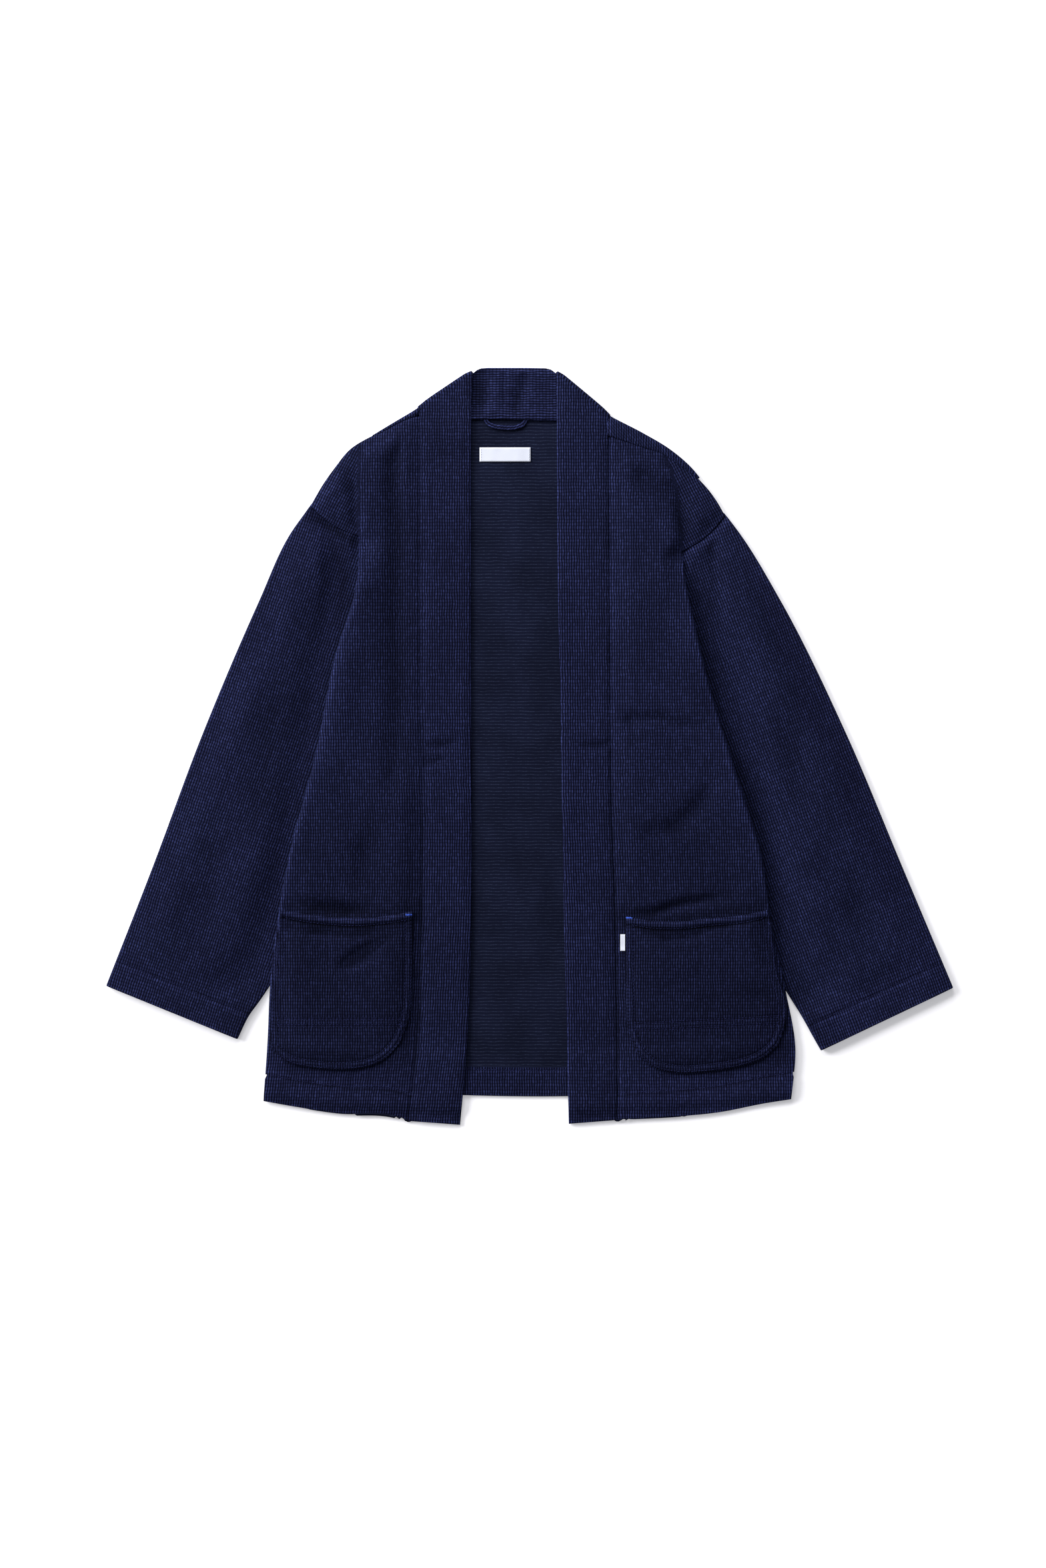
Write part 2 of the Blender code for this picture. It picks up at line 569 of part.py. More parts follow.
def make_band(side, material):
    """Half of the collar band: up the front edge, over the shoulder and along the neck."""
    shares = np.concatenate(((0, 0.02, 0.04, 0.065, 0.089, 0.108), np.linspace(0.14, 1.0, 20)))
    columns = np.array((0, 0.3, 0.7, 1.0))[None, :, None]
    turn = BAND_TURN[side]
    collar = COLLAR_LAY[side]

    def across(seam, edge):
        return (1 - columns) * seam[:, None] + columns * edge[:, None]

    rising = across(smooth(BAND_SEAM[side], shares), smooth(BAND_EDGE[side], shares))
    turned = across(np.column_stack((turn["seam_across"], turn["seam_up"])),
                    np.column_stack((turn["edge_across"], turn["edge_up"])))
    plan = np.concatenate((rising, turned))
    on_back = back_top(plan[..., 0], plan[..., 1])
    on_collar = step(plan[..., 1], 300, 334)
    base = on_back + (COLLAR_TOP - on_back) * on_collar
    upper = with_height(plan, base + GAP + BAND_THICK / 2)
    ridge = upper[-1]
    run = ridge[-1, :2] - ridge[0, :2]
    normal = np.array((-run[1], run[0])) / np.linalg.norm(run)
    normal = normal * np.sign(normal[1])
    angle = np.radians((45, 90, 135, 180))[:, None]
    rolled_plan = ridge[None, :, :2] + normal[None, None] * (BAND_ROLL_RADIUS * np.sin(angle))[..., None]
    rolled = np.concatenate((rolled_plan, (ridge[None, :, 2] - BAND_ROLL_RADIUS * (1 - np.cos(angle)))[..., None]),
                            axis=-1)
    lying = across(np.column_stack((collar["seam_across"], collar["seam_up"])),
                   np.column_stack((collar["edge_across"], collar["edge_up"])))
    lower = with_height(lying, BAND_THICK / 2)
    grid = np.concatenate((upper, rolled, lower))
    sheet = Sheet()
    numbers = sheet.add(grid)
    sheet.join(numbers if side == "right" else numbers[:, ::-1])
    # On the neck stretch the sheet is face down, so its soft folds go into its lower side
    above = np.full(numbers.shape, BAND_THICK / 2)
    below = np.full(numbers.shape, BAND_THICK / 2)
    inner_columns = np.array((0.3, 1, 1, 0.3))[None]
    below[-5:] += soft_folds(grid[-5:, :, 0], grid[-5:, :, 1], COLLAR_FOLDS) * inner_columns
    make_piece("band_" + side, sheet, above.ravel(), below.ravel(), material)


def make_pocket(side, material):
    """A patch pocket, laid on the front panel's own form."""
    size = 9
    lines = {name: smooth(rows, even(size)) for name, rows in POCKET[side].items()}
    mouth_rows = np.concatenate((np.linspace(0, 0.95, size - 1), (1.0,)))
    outer = smooth(POCKET[side]["outer"], mouth_rows)
    inner = smooth(POCKET[side]["inner"], mouth_rows)
    if side == "right":
        plan = patch(lines["foot"], lines["mouth"], outer, inner)
    else:
        plan = patch(lines["foot"], lines["mouth"], inner, outer)
    height = front_middle(plan[..., 0], plan[..., 1], side, 1.0) + CLOTH + POCKET_LIFT
    sheet = Sheet()
    numbers = sheet.add(with_height(plan, height))
    sheet.join(numbers)
    above = np.full(numbers.shape, CLOTH / 2)
    above[-2:] += 0.7
    make_piece("pocket_" + side, sheet, above.ravel(), CLOTH / 2, material)


def make_strip(name, plan, base, thick, material):
    """A thin flat piece on the heights given by base."""
    sheet = Sheet()
    numbers = sheet.add(with_height(plan, base + GAP + thick / 2))
    sheet.join(numbers)
    make_piece(name, sheet, thick / 2, thick / 2, material)


def rectangle(size, columns, rows):
    """Plan points of an upright rectangle."""
    across = np.linspace(size["left"], size["right"], columns)
    up = np.linspace(size["low"], size["high"], rows)
    return np.stack(np.meshgrid(across, up), axis=-1)


def make_small_pieces(cloth, white):
    """The hanging loop, the bare neck label and the bare pocket tab."""
    middle = smooth(LOOP_LINE, even(11))
    beside = outward(middle) * LOOP["width"] / 2
    loop = np.stack((middle - beside, middle + beside))
    make_strip("hanging_loop", loop, CLOTH, LOOP["thick"], cloth)
    make_strip("neck_label", rectangle(LABEL, 4, 3), CLOTH, LABEL["thick"], white)
    tab = rectangle(TAB, 3, 4)
    under = front_middle(tab[..., 0], tab[..., 1], "left", 1.0) + CLOTH / 2 + POCKET_LIFT - GAP
    make_strip("pocket_tab", tab, under, TAB["thick"], white)


def main():
    for old in list(bpy.data.objects):
        bpy.data.objects.remove(old, do_unlink=True)
    collection = bpy.data.collections.new(COLLECTION)
    bpy.context.scene.collection.children.link(collection)
    cloth = make_material("indigo_cotton", (0.012, 0.014, 0.034), 0.9)
    band_cloth = make_material("indigo_band_cotton", (0.013, 0.015, 0.036), 0.9)
    white = make_material("white_woven_label", (0.83, 0.85, 0.9), 0.7)
    make_back(cloth)
    for side in ("right", "left"):
        make_front(side, cloth)
        make_sleeve(side, cloth)
        make_band(side, band_cloth)
        make_pocket(side, cloth)
    make_small_pieces(cloth, white)


main()
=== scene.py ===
"""Looks of a happi coat laid flat, front side up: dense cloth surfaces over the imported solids.

Left and right are the wearer's: the wearer's left is at +X, the collar is at +Y and +Z points up from the
surface. Lengths in the functions are millimetres, and a mesh's points are put into metres as it is made.
"""

import bpy
import numpy as np
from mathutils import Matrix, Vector
from mathutils.bvhtree import BVHTree


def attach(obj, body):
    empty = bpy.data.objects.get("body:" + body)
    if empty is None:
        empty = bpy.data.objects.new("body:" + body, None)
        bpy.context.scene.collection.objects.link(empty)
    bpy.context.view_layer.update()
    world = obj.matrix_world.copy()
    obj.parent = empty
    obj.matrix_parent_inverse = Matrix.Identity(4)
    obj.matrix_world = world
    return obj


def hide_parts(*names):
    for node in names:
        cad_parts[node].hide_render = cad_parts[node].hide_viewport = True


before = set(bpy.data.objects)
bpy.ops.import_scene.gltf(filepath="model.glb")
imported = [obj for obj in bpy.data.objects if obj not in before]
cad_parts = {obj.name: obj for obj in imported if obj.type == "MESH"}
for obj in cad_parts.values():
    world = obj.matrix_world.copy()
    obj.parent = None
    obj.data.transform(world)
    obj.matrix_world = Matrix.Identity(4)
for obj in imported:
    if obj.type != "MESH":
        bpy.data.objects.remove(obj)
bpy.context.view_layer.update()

MM = 0.001

# Cloth and the layers that lie on each other, as in the solids
CLOTH = 1.3
GAP = 0.3
HEM_LAYER = CLOTH + GAP
BAND_THICK = 3.0
FOLD_RADIUS = (CLOTH + 2 * GAP) / 2
COLLAR_TOP = BAND_THICK
FRONT_LIFT = GAP + 2 * FOLD_RADIUS
SHOULDER_ROLL_RADIUS = (CLOTH + FRONT_LIFT) / 2
BAND_ROLL_RADIUS = (BAND_THICK + GAP) / 2
SLEEVE_PRESSED = 3.0
SLEEVE_FREE = 5.4
SLEEVE_HEAD = CLOTH + FRONT_LIFT + CLOTH
CUFF_HIGH = 6.6
POCKET_LIFT = 0.62
BACK_HEM = 30.0
FRONT_HEM = 28.0
CUFF_HEM = 29.0
SIDE_RETURN = 11.0
PRESS_WIDTH = 42.0

# The front's seam edge runs this far under the band
SEAM_RUN = 1.6

# The visible sleeve runs a little under the front at the armhole, so that no floor shows through the seam
HEAD_TUCK = 3.0
HEAD_TUCKED = 2.9
SIDE_TUCK = 4.0
TUCK_ENDS = {"right": (55.0, 115.0), "left": (190.0, 260.0)}
BACK_EDGE = 1.5

# How far the soft cloth stands above its solids
FRONT_PUFF = 4.6
SLEEVE_PUFF = 4.4
POCKET_PUFF = 1.8
BAND_PUFF = 0.9
CUFF_PUFF = 0.9

# Troughs and ridges are this much stronger in the soft cloth than the tables of pressed lines say
CREASE_DEPTH = 2.3
CREASE_RISE = 1.3

# The armhole seam sags this far below the straight line from the armhole's top to the shoulder point
HEAD_SAG = 4.5

# Outside these lines, above the armholes, the front's cloth lies turned, with its weave along the sleeve
CAP_LINE = {
    "right": ((200.0, -179.5), (330.0, -178.5)),
    "left": ((190.0, 161.0), (270.0, 154.0), (310.0, 140.0)),
}
CAP_TURN = {"right": 27.0, "left": -27.0}

# The cloth is painted this much darker towards the hem and on the pockets, and painted shade darkens it this
# much for each millimetre down in a trough
HEM_DARKER = 0.45
TROUGH_PAINTED_SHADE = 0.14

# Painted light makes the cloth this much lighter at the hem and the cuffs, and a painted highlight this much
# lighter along the folded side that faces the lamp
HEM_PAINTED_LIGHT = {"right": 0.1, "left": 0.35}
SIDE_PAINTED_HIGHLIGHT = {"right": 0.35, "left": 0.1}

# Beside the front's fold the sleeve has this much painted shadow, and below the armhole seam this much
# painted shade on the right and painted highlight on the left
FOLD_PAINTED_SHADOW = {"right": 0.1, "left": 0.5}
HEAD_PAINTED_LIGHT = {"right": -0.6, "left": 0.7}

# Mesh steps: close together beside an edge, so that it is round, and wider inside a panel
EDGE_STEPS = (0.0, 0.45, 1.1, 2.0, 3.2, 4.7, 6.5, 9.0, 12.0)
HEM_STEPS = EDGE_STEPS + (15.0, 18.0, 21.0) + tuple(22.2 + 1.1 * k for k in range(12)) + (37.0,)
PANEL_STEP = 3.3
EDGE_ROUND = 1.4
EDGE_THIN = 0.32

# Real lengths that the rows and columns of the meshes are spread over
BACK_LONG = 710.0
FRONT_LONG = 610.0
FRONT_WIDE = 150.0
SLEEVE_LONG = 575.0
SLEEVE_WIDE = 190.0
BAND_LONG = 725.0
BAND_WIDE = 54.0

# Along X towards the middle of the coat, and the seeds of the soft unevenness
INTO = {"right": 1, "left": -1}
SEEDS = {
    "front": {"right": 11, "left": 23},
    "sleeve": {"right": 31, "left": 41},
    "band": {"right": 51, "left": 61},
    "pocket": {"right": 71, "left": 81},
}

# The weave repeats its rice stitches at these distances
STITCH_ACROSS = 2.6
STITCH_ALONG = 3.5

# Stitches, and the grooves that they pull into the cloth
STITCH_PITCH = 3.6
STITCH_LENGTH = 2.7
STITCH_RADIUS = 0.33
GROOVE_WIDTH = 1.5
GROOVE_DEPTH = 0.55

# The finer stitches of label and bar tacks, by pitch, length and radius
LABEL_STITCH = (2.2, 1.6, 0.2)
TACK_STITCH = (1.2, 1.1, 0.4)

# Where rows of stitches lie: from the back's hem, a pocket's rim, its mouth, its upper low row and the
# label's ends, then the two rows beside the right armhole and the middles of the bar tacks
BACK_HEM_ROW = BACK_HEM - 2.5
RIM_ROWS = (2.0, 8.0)
MOUTH_ROW = 7.6
LOW_ROWS = (0.0, 1.6, 7.0, 8.6)
LABEL_ROW = 1.6
ARMHOLE_ROWS = (-177.5, -173.5)
BAR_TACK = {"right": (-126.5, -176.5), "left": (104.2, -179.6)}


def table(columns, *rows):
    """Rows of numbers as one array for each named column."""
    values = np.array(rows, float)
    return {name: values[:, place] for place, name in enumerate(columns.split())}


def points(rows):
    """The across and up columns of a table as plan points."""
    return np.column_stack((rows["across"], rows["up"]))


# Outlines in plan, from the hem or cuff upwards unless a comment says otherwise
BACK_HEM_LINE = table(
    "across up",
    (-275, -352), (-200, -361), (-70, -366), (39, -367), (150, -361), (275, -351))
NECK_LINE = table(
    "across up",
    (-117.5, 349.8), (-110, 347.4), (-100, 345.6), (-80, 345), (-27, 345), (40, 344.2), (83.5, 342.8))

SIDE_SEAM = {
    "right": table("across up", (-275, -352), (-273, -313), (-270.5, -280), (-266.5, -252)),
    "left": table("across up", (275, -351), (275.5, -320), (273, -285), (266.5, -258)),
}
ARMHOLE = {
    "right": table(
        "across up",
        (-259.5, -232), (-238, -160), (-214, -40), (-195, 80), (-182, 170), (-179.5, 200), (-179.5, 221)),
    "left": table(
        "across up",
        (257, -240), (239, -182), (220, -75), (198, 31), (170, 128), (165.2, 161), (163, 180), (161, 205)),
}
SHOULDER_POINT = {"right": (-230, 252.5), "left": (205.5, 243)}
CUFF_INNER = {
    "right": table("across up", (-306, -307), (-293, -281), (-283.5, -268), (-272, -251)),
    "left": table("across up", (305, -319), (297, -305), (286, -285), (270, -259)),
}
SLEEVE_OUTER = {
    "right": table(
        "across up",
        (-444, -251), (-395.5, -127), (-343, 13), (-283.5, 153), (-251, 223), (-230, 252.5)),
    "left": table(
        "across up",
        (444, -253), (391, -127), (332, 13), (263, 153), (220.5, 223), (205.5, 243)),
}
FRONT_FOLD = {
    "right": table(
        "across up",
        (-279, -372), (-275, -313), (-272, -251), (-263, -174), (-251, -110), (-224, -7), (-202, 101),
        (-184, 158), (-179.5, 190), (-179, 220)),
    "left": table(
        "across up",
        (274, -370), (278.5, -317), (268, -255), (253, -183), (245, -122), (217, -29), (187, 71),
        (172, 135), (166, 161), (162, 185), (160, 204)),
}
FRONT_HEM_LINE = {
    "right": table("across up", (-279, -372), (-239, -379), (-202, -384), (-146, -386), (-128.2, -391)),
    "left": table(
        "across up",
        (92.8, -391), (115, -390), (156, -388), (197, -384), (248.5, -374), (274, -370)),
}
# The front's upper edge, from the shoulder point along the ridge and then the forward seam to the band
FRONT_TOP_LINE = {
    "right": table(
        "across up",
        (-229.6, 252.2), (-215.9, 275.6), (-203.8, 292.6), (-188.8, 310.8), (-165, 325.4), (-148, 333.0),
        (-134, 340), (-113.6, 348.2)),
    "left": table(
        "across up",
        (204.5, 242), (196, 257), (182, 275), (176, 281), (164, 290), (153, 297.5), (138, 307), (119, 313),
        (80.8, 325.6)),
}
SHOULDER_RIDGE = {
    "right": table(
        "across up",
        (-230, 252.5), (-216, 276), (-204, 293), (-189, 311), (-162, 328), (-132, 346), (-123.5, 351)),
    "left": table("across up", (205.5, 243), (183, 276), (169, 293), (148, 311), (120, 328), (89, 344)),
}
# Where the wrapped cloth reaches the band
RIDGE_END = {"right": (-115.0, 356.6), "left": (82.0, 347.9)}
# The share of the ridge, from the shoulder point, past which the back wraps over to the front
WRAP_STARTS = {"right": 0.67, "left": 0.30}

BAND_SEAM = {
    "right": table(
        "across up",
        (-127.5, -393), (-119, -321), (-113, -175), (-112, -85), (-115, 40), (-115, 328)),
    "left": table("across up", (92, -392), (91, -290), (89, -167), (85, -49), (84, 83), (82.3, 322)),
}
BAND_EDGE = {
    "right": table(
        "across up",
        (-73, -397), (-67, -331), (-62, -228), (-61, -85), (-61.5, 100), (-61.5, 328)),
    "left": table("across up", (41, -396), (39, -313), (36, -181), (32, 50), (29, 218), (28.5, 322)),
}
# The band's turn over the shoulder: the last lines across it, then the ridge, then the neck stretch
BAND_TURN = {
    "right": table(
        "seam_across seam_up edge_across edge_up",
        (-115.2, 334, -61.3, 341), (-115.7, 345, -61.2, 364), (-116.3, 353.4, -59.4, 391.6)),
    "left": table(
        "seam_across seam_up edge_across edge_up",
        (82.6, 328, 28.5, 335), (82.9, 338, 28.3, 360), (83.2, 344.8, 27.4, 391.4)),
}
COLLAR_LAY = {
    "right": table(
        "seam_across seam_up edge_across edge_up",
        (-112, 346.5, -59, 391.8), (-104, 344.4, -58.4, 392.2), (-96, 344.2, -57.4, 393),
        (-84, 344.2, -55.2, 394.8), (-70, 344.2, -51, 396.5), (-52, 344.2, -44, 397),
        (-26.5, 344.2, -26.5, 397)),
    "left": table(
        "seam_across seam_up edge_across edge_up",
        (76, 342.4, 26.9, 391.7), (70, 342.4, 26.2, 392.2), (62, 342.4, 25.0, 393.3),
        (52, 342.6, 22.6, 395.1), (38, 342.8, 17, 396.6), (4, 343.4, -2, 397), (-27.3, 344.2, -27.3, 397)),
}

POCKET = {
    "right": {
        "mouth": table(
            "across up",
            (-261, -170), (-239, -175), (-208, -179), (-177, -180), (-146, -177), (-122.5, -173)),
        "outer": table("across up", (-271.5, -316), (-269, -251), (-264.5, -206), (-261, -170)),
        "inner": table("across up", (-136, -311), (-126, -284), (-122.5, -240), (-122.5, -173)),
        "foot": table(
            "across up",
            (-271.5, -316), (-253, -331), (-228, -337), (-197, -339), (-171, -336), (-152, -327.5),
            (-136, -311)),
    },
    "left": {
        "mouth": table(
            "across up",
            (100.5, -178), (129.5, -183), (162, -183), (187, -180), (218, -177.5), (250, -171)),
        "outer": table(
            "across up",
            (260, -313), (268, -290), (269, -272), (259.5, -235), (252.5, -183), (250, -171)),
        "inner": table("across up", (113, -322), (104, -300), (101, -260), (100.5, -178)),
        "foot": table(
            "across up",
            (113, -322), (128, -335), (152, -342), (177, -342), (201.5, -339), (222, -335), (243, -327),
            (260, -313)),
    },
}
# The two rows of double stitching low on each pocket, by the ends of the upper row
POCKET_ROWS = {
    "right": table("across up", (-270, -284.5), (-125, -284.5)),
               "left": table("across up", (103, -290), (267, -282))}

# Creases: rows with the same number are one line, a bell across it, with its width and height along it
FRONT_CREASES = {
    "right": table(
        "crease across up half_width height",
        (0, -131, 334, 6, 0), (0, -138, 310, 8, -1.9), (0, -142, 296, 10, -2.4), (0, -138, 210, 13, -2.4),
        (0, -137, 118, 15, -2.3), (0, -137, 41, 16, -2.0), (0, -141, -22, 15, -1.3), (0, -148, -70, 14, 0),
        (10, -168, 300, 8, 0), (10, -169, 240, 8, 1.0), (10, -172, 170, 9, 0.8), (10, -178, 110, 9, 0),
        (2, -176, 150, 14, 0), (2, -190, 90, 14, 1.5), (2, -208, 0, 16, 1.2), (2, -222, -70, 16, 0),
        (3, -205, -60, 18, 0), (3, -196, -100, 18, 1.4), (3, -188, -140, 16, 0),
        (4, -190, 250, 12, 0), (4, -183, 225, 10, -1.2), (4, -176, 190, 9, 0),
        (5, -160, -60, 14, 0), (5, -172, -110, 16, -1.2), (5, -180, -160, 14, 0),
        (6, -183, 316, 4, -0.3), (6, -183.5, 290, 5, -1.0), (6, -183.5, 250, 5, -1.3),
        (6, -183, 224, 5, -1.2),
        (7, -198, 302, 6, 0), (7, -193, 285, 6, -1.2), (7, -187, 268, 6, -0.9), (7, -185, 252, 5, 0),
        (8, -223, 241, 4, -0.6), (8, -208, 234, 5, -2.2), (8, -196, 229, 5, -2.1), (8, -185, 226, 4, -0.9),
        (9, -160, -170, 5, 0), (9, -190, -172, 7, -2.0), (9, -222, -168, 7, -1.5), (9, -250, -161, 6, 0)),
    "left": table(
        "crease across up half_width height",
        (0, 196, -34, 8, 0), (0, 180, -58, 10, -1.3), (0, 153, -85, 11, -1.5), (0, 131, -88, 9, -0.8),
        (0, 118, -104, 8, 0),
        (1, 88, 30, 5, -0.4), (1, 110, 28, 6, -1.2), (1, 140, 29, 6, -1.1), (1, 160, 22, 6, -1.0),
        (1, 188, 20, 6, 0),
        (2, 108, 290, 12, 0), (2, 119, 281, 12, -1.4), (2, 140, 262, 14, -1.0), (2, 158, 240, 12, 0),
        (3, 150, 240, 16, 0), (3, 135, 170, 22, 1.3), (3, 116, 90, 20, 0),
        (4, 198, -20, 12, 0), (4, 212, -50, 14, 1.4), (4, 228, -95, 14, 0),
        (5, 96, 33, 6, 0), (5, 104, 30, 6, -1.0), (5, 110, 4, 6, -0.7), (5, 116, -6, 6, 0),
        (6, 106, -176, 4, 0), (6, 132, -173.5, 4, -1.8), (6, 151, -167, 4.5, -2.3),
        (6, 167, -163.5, 4.5, -2.1), (6, 190, -160, 5, -1.3), (6, 214, -158, 5, 0),
        (7, 172, 110, 10, 0), (7, 190, 40, 12, -1.0), (7, 206, -20, 12, 0),
        (8, 165, 206, 7, -1.2), (8, 161, 232, 9, -2.0), (8, 158, 260, 8, -1.6), (8, 149, 274, 6, -0.9),
        (8, 139, 273, 5, 0),
        (9, 150, 190, 8, 0), (9, 148, 222, 8, 1.0), (9, 144, 258, 8, 0)),
}
SLEEVE_CREASES = {
    "right": table(
        "crease across up half_width height",
        (0, -209, 226, 7, 0), (0, -200, 205, 7, -1.6), (0, -196, 182, 7, -2.0), (0, -196, 155, 8, -1.6),
        (0, -200, 120, 8, 0),
        (1, -224, 226, 8, 0), (1, -219, 190, 9, 1.6), (1, -218, 150, 10, 1.4), (1, -226, 100, 10, 0),
        (2, -262, 120, 14, 0), (2, -268, 40, 18, -0.7), (2, -282, -40, 16, -0.5), (2, -290, -90, 14, 0),
        (3, -300, 90, 18, 0), (3, -322, 10, 22, 0.9), (3, -350, -80, 20, 0),
        (4, -330, -100, 16, 0), (4, -340, -160, 20, -0.8), (4, -352, -215, 16, 0),
        (5, -262, -60, 14, 0), (5, -286, -130, 18, 0.9), (5, -308, -200, 16, 0),
        (6, -222, 238, 5, -0.6), (6, -207, 227, 6, -2.0), (6, -193, 220, 6, -1.7), (6, -184, 216, 5, -0.6)),
    "left": table(
        "crease across up half_width height",
        (0, 196, 232, 7, 0), (0, 190, 205, 8, -1.4), (0, 192, 170, 8, -1.2), (0, 200, 120, 8, 0),
        (1, 224, 190, 12, 0), (1, 236, 130, 14, 1.5), (1, 262, 60, 16, 1.0), (1, 276, 10, 14, 0),
        (2, 262, 60, 14, 0), (2, 276, -20, 16, -1.4), (2, 292, -100, 16, 0),
        (3, 290, 40, 18, 0), (3, 322, -60, 22, 1.4), (3, 350, -130, 18, 0),
        (4, 330, -110, 16, 0), (4, 346, -170, 18, -1.3), (4, 360, -215, 16, 0),
        (5, 280, -100, 14, 0), (5, 300, -170, 16, 1.3), (5, 316, -230, 14, 0)),
}
POCKET_CREASES = {
    "right": table(
        "crease across up half_width height",
        (0, -256, -186, 5, 0), (0, -230, -192, 6, -1.7), (0, -180, -196, 6, -1.8), (0, -134, -190, 5, 0),
        (1, -198, -236, 7, 0), (1, -191, -228, 7, -1.6), (1, -175, -218, 8, -1.9), (1, -131, -189, 6, 0),
        (2, -250, -230, 12, 0), (2, -225, -250, 14, 0.8), (2, -190, -262, 12, 0)),
    "left": table(
        "crease across up half_width height",
        (0, 108, -186, 5, 0), (0, 123, -193, 6, -1.2), (0, 142, -200, 6, -1.5), (0, 164, -199, 6, -1.3),
        (0, 200, -190, 6, -0.6), (0, 226, -184, 5, 0),
        (1, 130, -220, 12, 0), (1, 165, -228, 14, 0.9), (1, 210, -222, 12, 0),
        (2, 216, -250, 10, 0), (2, 240, -262, 10, -0.8), (2, 258, -272, 8, 0)),
}
BAND_CREASES = {
    "right": table(
        "crease across up half_width height",
        (0, -116, 2, 4, -0.8), (0, -100, 0, 4, -1.3), (0, -84, 1, 4, -0.8), (0, -74, 2, 4, 0),
        (1, -112, -17, 4, -1.0), (1, -96, -16, 4, -0.9), (1, -86, -14, 4, 0),
        (2, -100, 200, 10, 0), (2, -98, 140, 12, 0.5), (2, -96, 70, 10, 0)),
    "left": table(
        "crease across up half_width height",
        (0, 84, 1, 4, -1.2), (0, 66, 0, 4, -1.0), (0, 50, 2, 4, 0),
        (1, 60, 240, 10, 0), (1, 58, 160, 12, 0.5), (1, 60, 80, 10, 0),
        (2, 70, -120, 10, 0), (2, 72, -190, 12, 0.5), (2, 74, -260, 10, 0)),
}
COLLAR_CREASES = table(
    "crease across up half_width height",
    (0, -5, 387, 4, -1.0), (0, -10, 370, 5, -2.4), (0, -15, 357, 5, -2.3), (0, -12, 345, 4, -1.0),
    (1, -34, 392, 4, 0), (1, -35, 372, 5, 0.8), (1, -35, 352, 4, 0),
    (2, -53, 392, 8, -1.3), (2, -52, 370, 9, -2.0), (2, -53, 347, 8, -1.3),
    (3, 6, 390, 5, 0), (3, 4, 370, 6, 0.7), (3, 6, 352, 5, 0))
BACK_CREASES = table(
    "crease across up half_width height",
    (0, -14, 296, 5, 0), (0, -12, 230, 6, 0.5), (0, -10, 134, 6, 0),
    (1, -40, 60, 14, 0), (1, -30, -40, 16, 0.7), (1, -26, -140, 14, 0),
    (2, 10, -60, 12, 0), (2, 8, -160, 14, 0.6), (2, 2, -250, 12, 0))

LABEL = {"left": -52.5, "right": 1.0, "low": 298.5, "high": 313.5, "thick": 1.0}
TAB = {"left": 95.0, "right": 100.0, "low": -214.5, "high": -197.0, "thick": 1.0}
LOOP = {"width": 4.8, "thick": 1.7}
LOOP_LINE = table(
    "across up",
    (-46.5, 343.8), (-43.5, 339), (-37, 335.6), (-25, 334.2), (-13.5, 334.8), (-7, 337.8), (-3.5, 343.6))


def step(value, low, high):
    """Smooth rise from 0 at low to 1 at high."""
    share = np.clip((value - low) / (high - low), 0.0, 1.0)
    return share * share * (3.0 - 2.0 * share)


def bell(distance, width):
    """1 on a line, fading to nothing about two widths away from it."""
    return np.exp(-((distance / width) ** 2))


def reach_of(line):
    """Length along a line up to each of its points."""
    return np.concatenate(([0.0], np.cumsum(np.linalg.norm(np.diff(line, axis=0), axis=1))))


def shares_of(line):
    """The share of its own length at which each point of a line lies."""
    reach = reach_of(line)
    return reach / reach[-1]


def smooth(rows, shares):
    """Points at the given shares of the length of a smooth curve through a table's rows.

    Cubic Hermite pieces between the rows, with the slope at each row taken from its neighbours.
    """
    knots = points(rows)
    reach = reach_of(knots)
    slope = np.gradient(knots, reach, axis=0)
    place = np.asarray(shares, float) * reach[-1]
    piece = np.clip(np.searchsorted(reach, place, side="right") - 1, 0, len(knots) - 2)
    span = (reach[piece + 1] - reach[piece])[:, None]
    part = (place - reach[piece])[:, None] / span
    start = (2 * part**3 - 3 * part**2 + 1) * knots[piece]
    start = start + (part**3 - 2 * part**2 + part) * span * slope[piece]
    end = (3 * part**2 - 2 * part**3) * knots[piece + 1] + (part**3 - part**2) * span * slope[piece + 1]
    return start + end


def along(line, shares):
    """Points at the given shares of the length of a line of points."""
    reach = shares_of(line)
    return np.column_stack([np.interp(shares, reach, line[:, axis]) for axis in range(line.shape[1])])


def even(count):
    """Even shares from 0 to 1."""
    return np.linspace(0.0, 1.0, count)


def spaced(length, low_steps, high_steps, coarse):
    """Shares of a length: at the given millimetres from its two ends and at even steps between them."""
    low = np.array(low_steps)
    high = length - np.array(high_steps)[::-1]
    count = max(3, round((high[0] - low[-1]) / coarse))
    middle = np.linspace(low[-1], high[0], count)[1:-1]
    return np.concatenate((low, middle, high)) / length


def patch(bottom, top, left, right):
    """Plan points of a Coons patch between four lines of points that share their corners."""
    across = ((shares_of(bottom) + shares_of(top)) / 2)[None, :, None]
    up = ((shares_of(left) + shares_of(right)) / 2)[:, None, None]
    between_rows = (1 - up) * bottom[None] + up * top[None]
    between_columns = (1 - across) * left[:, None] + across * right[:, None]
    corners = ((1 - across) * (1 - up) * bottom[0] + across * (1 - up) * bottom[-1]
               + (1 - across) * up * top[0] + across * up * top[-1])
    return between_rows + between_columns - corners


def grid_reach(grid, axis):
    """Length along each row or column of a grid of points, from its first point."""
    steps = np.linalg.norm(np.diff(grid, axis=axis), axis=-1)
    start = np.zeros_like(np.take(steps, [0], axis=axis))
    return np.concatenate((start, np.cumsum(steps, axis=axis)), axis=axis)


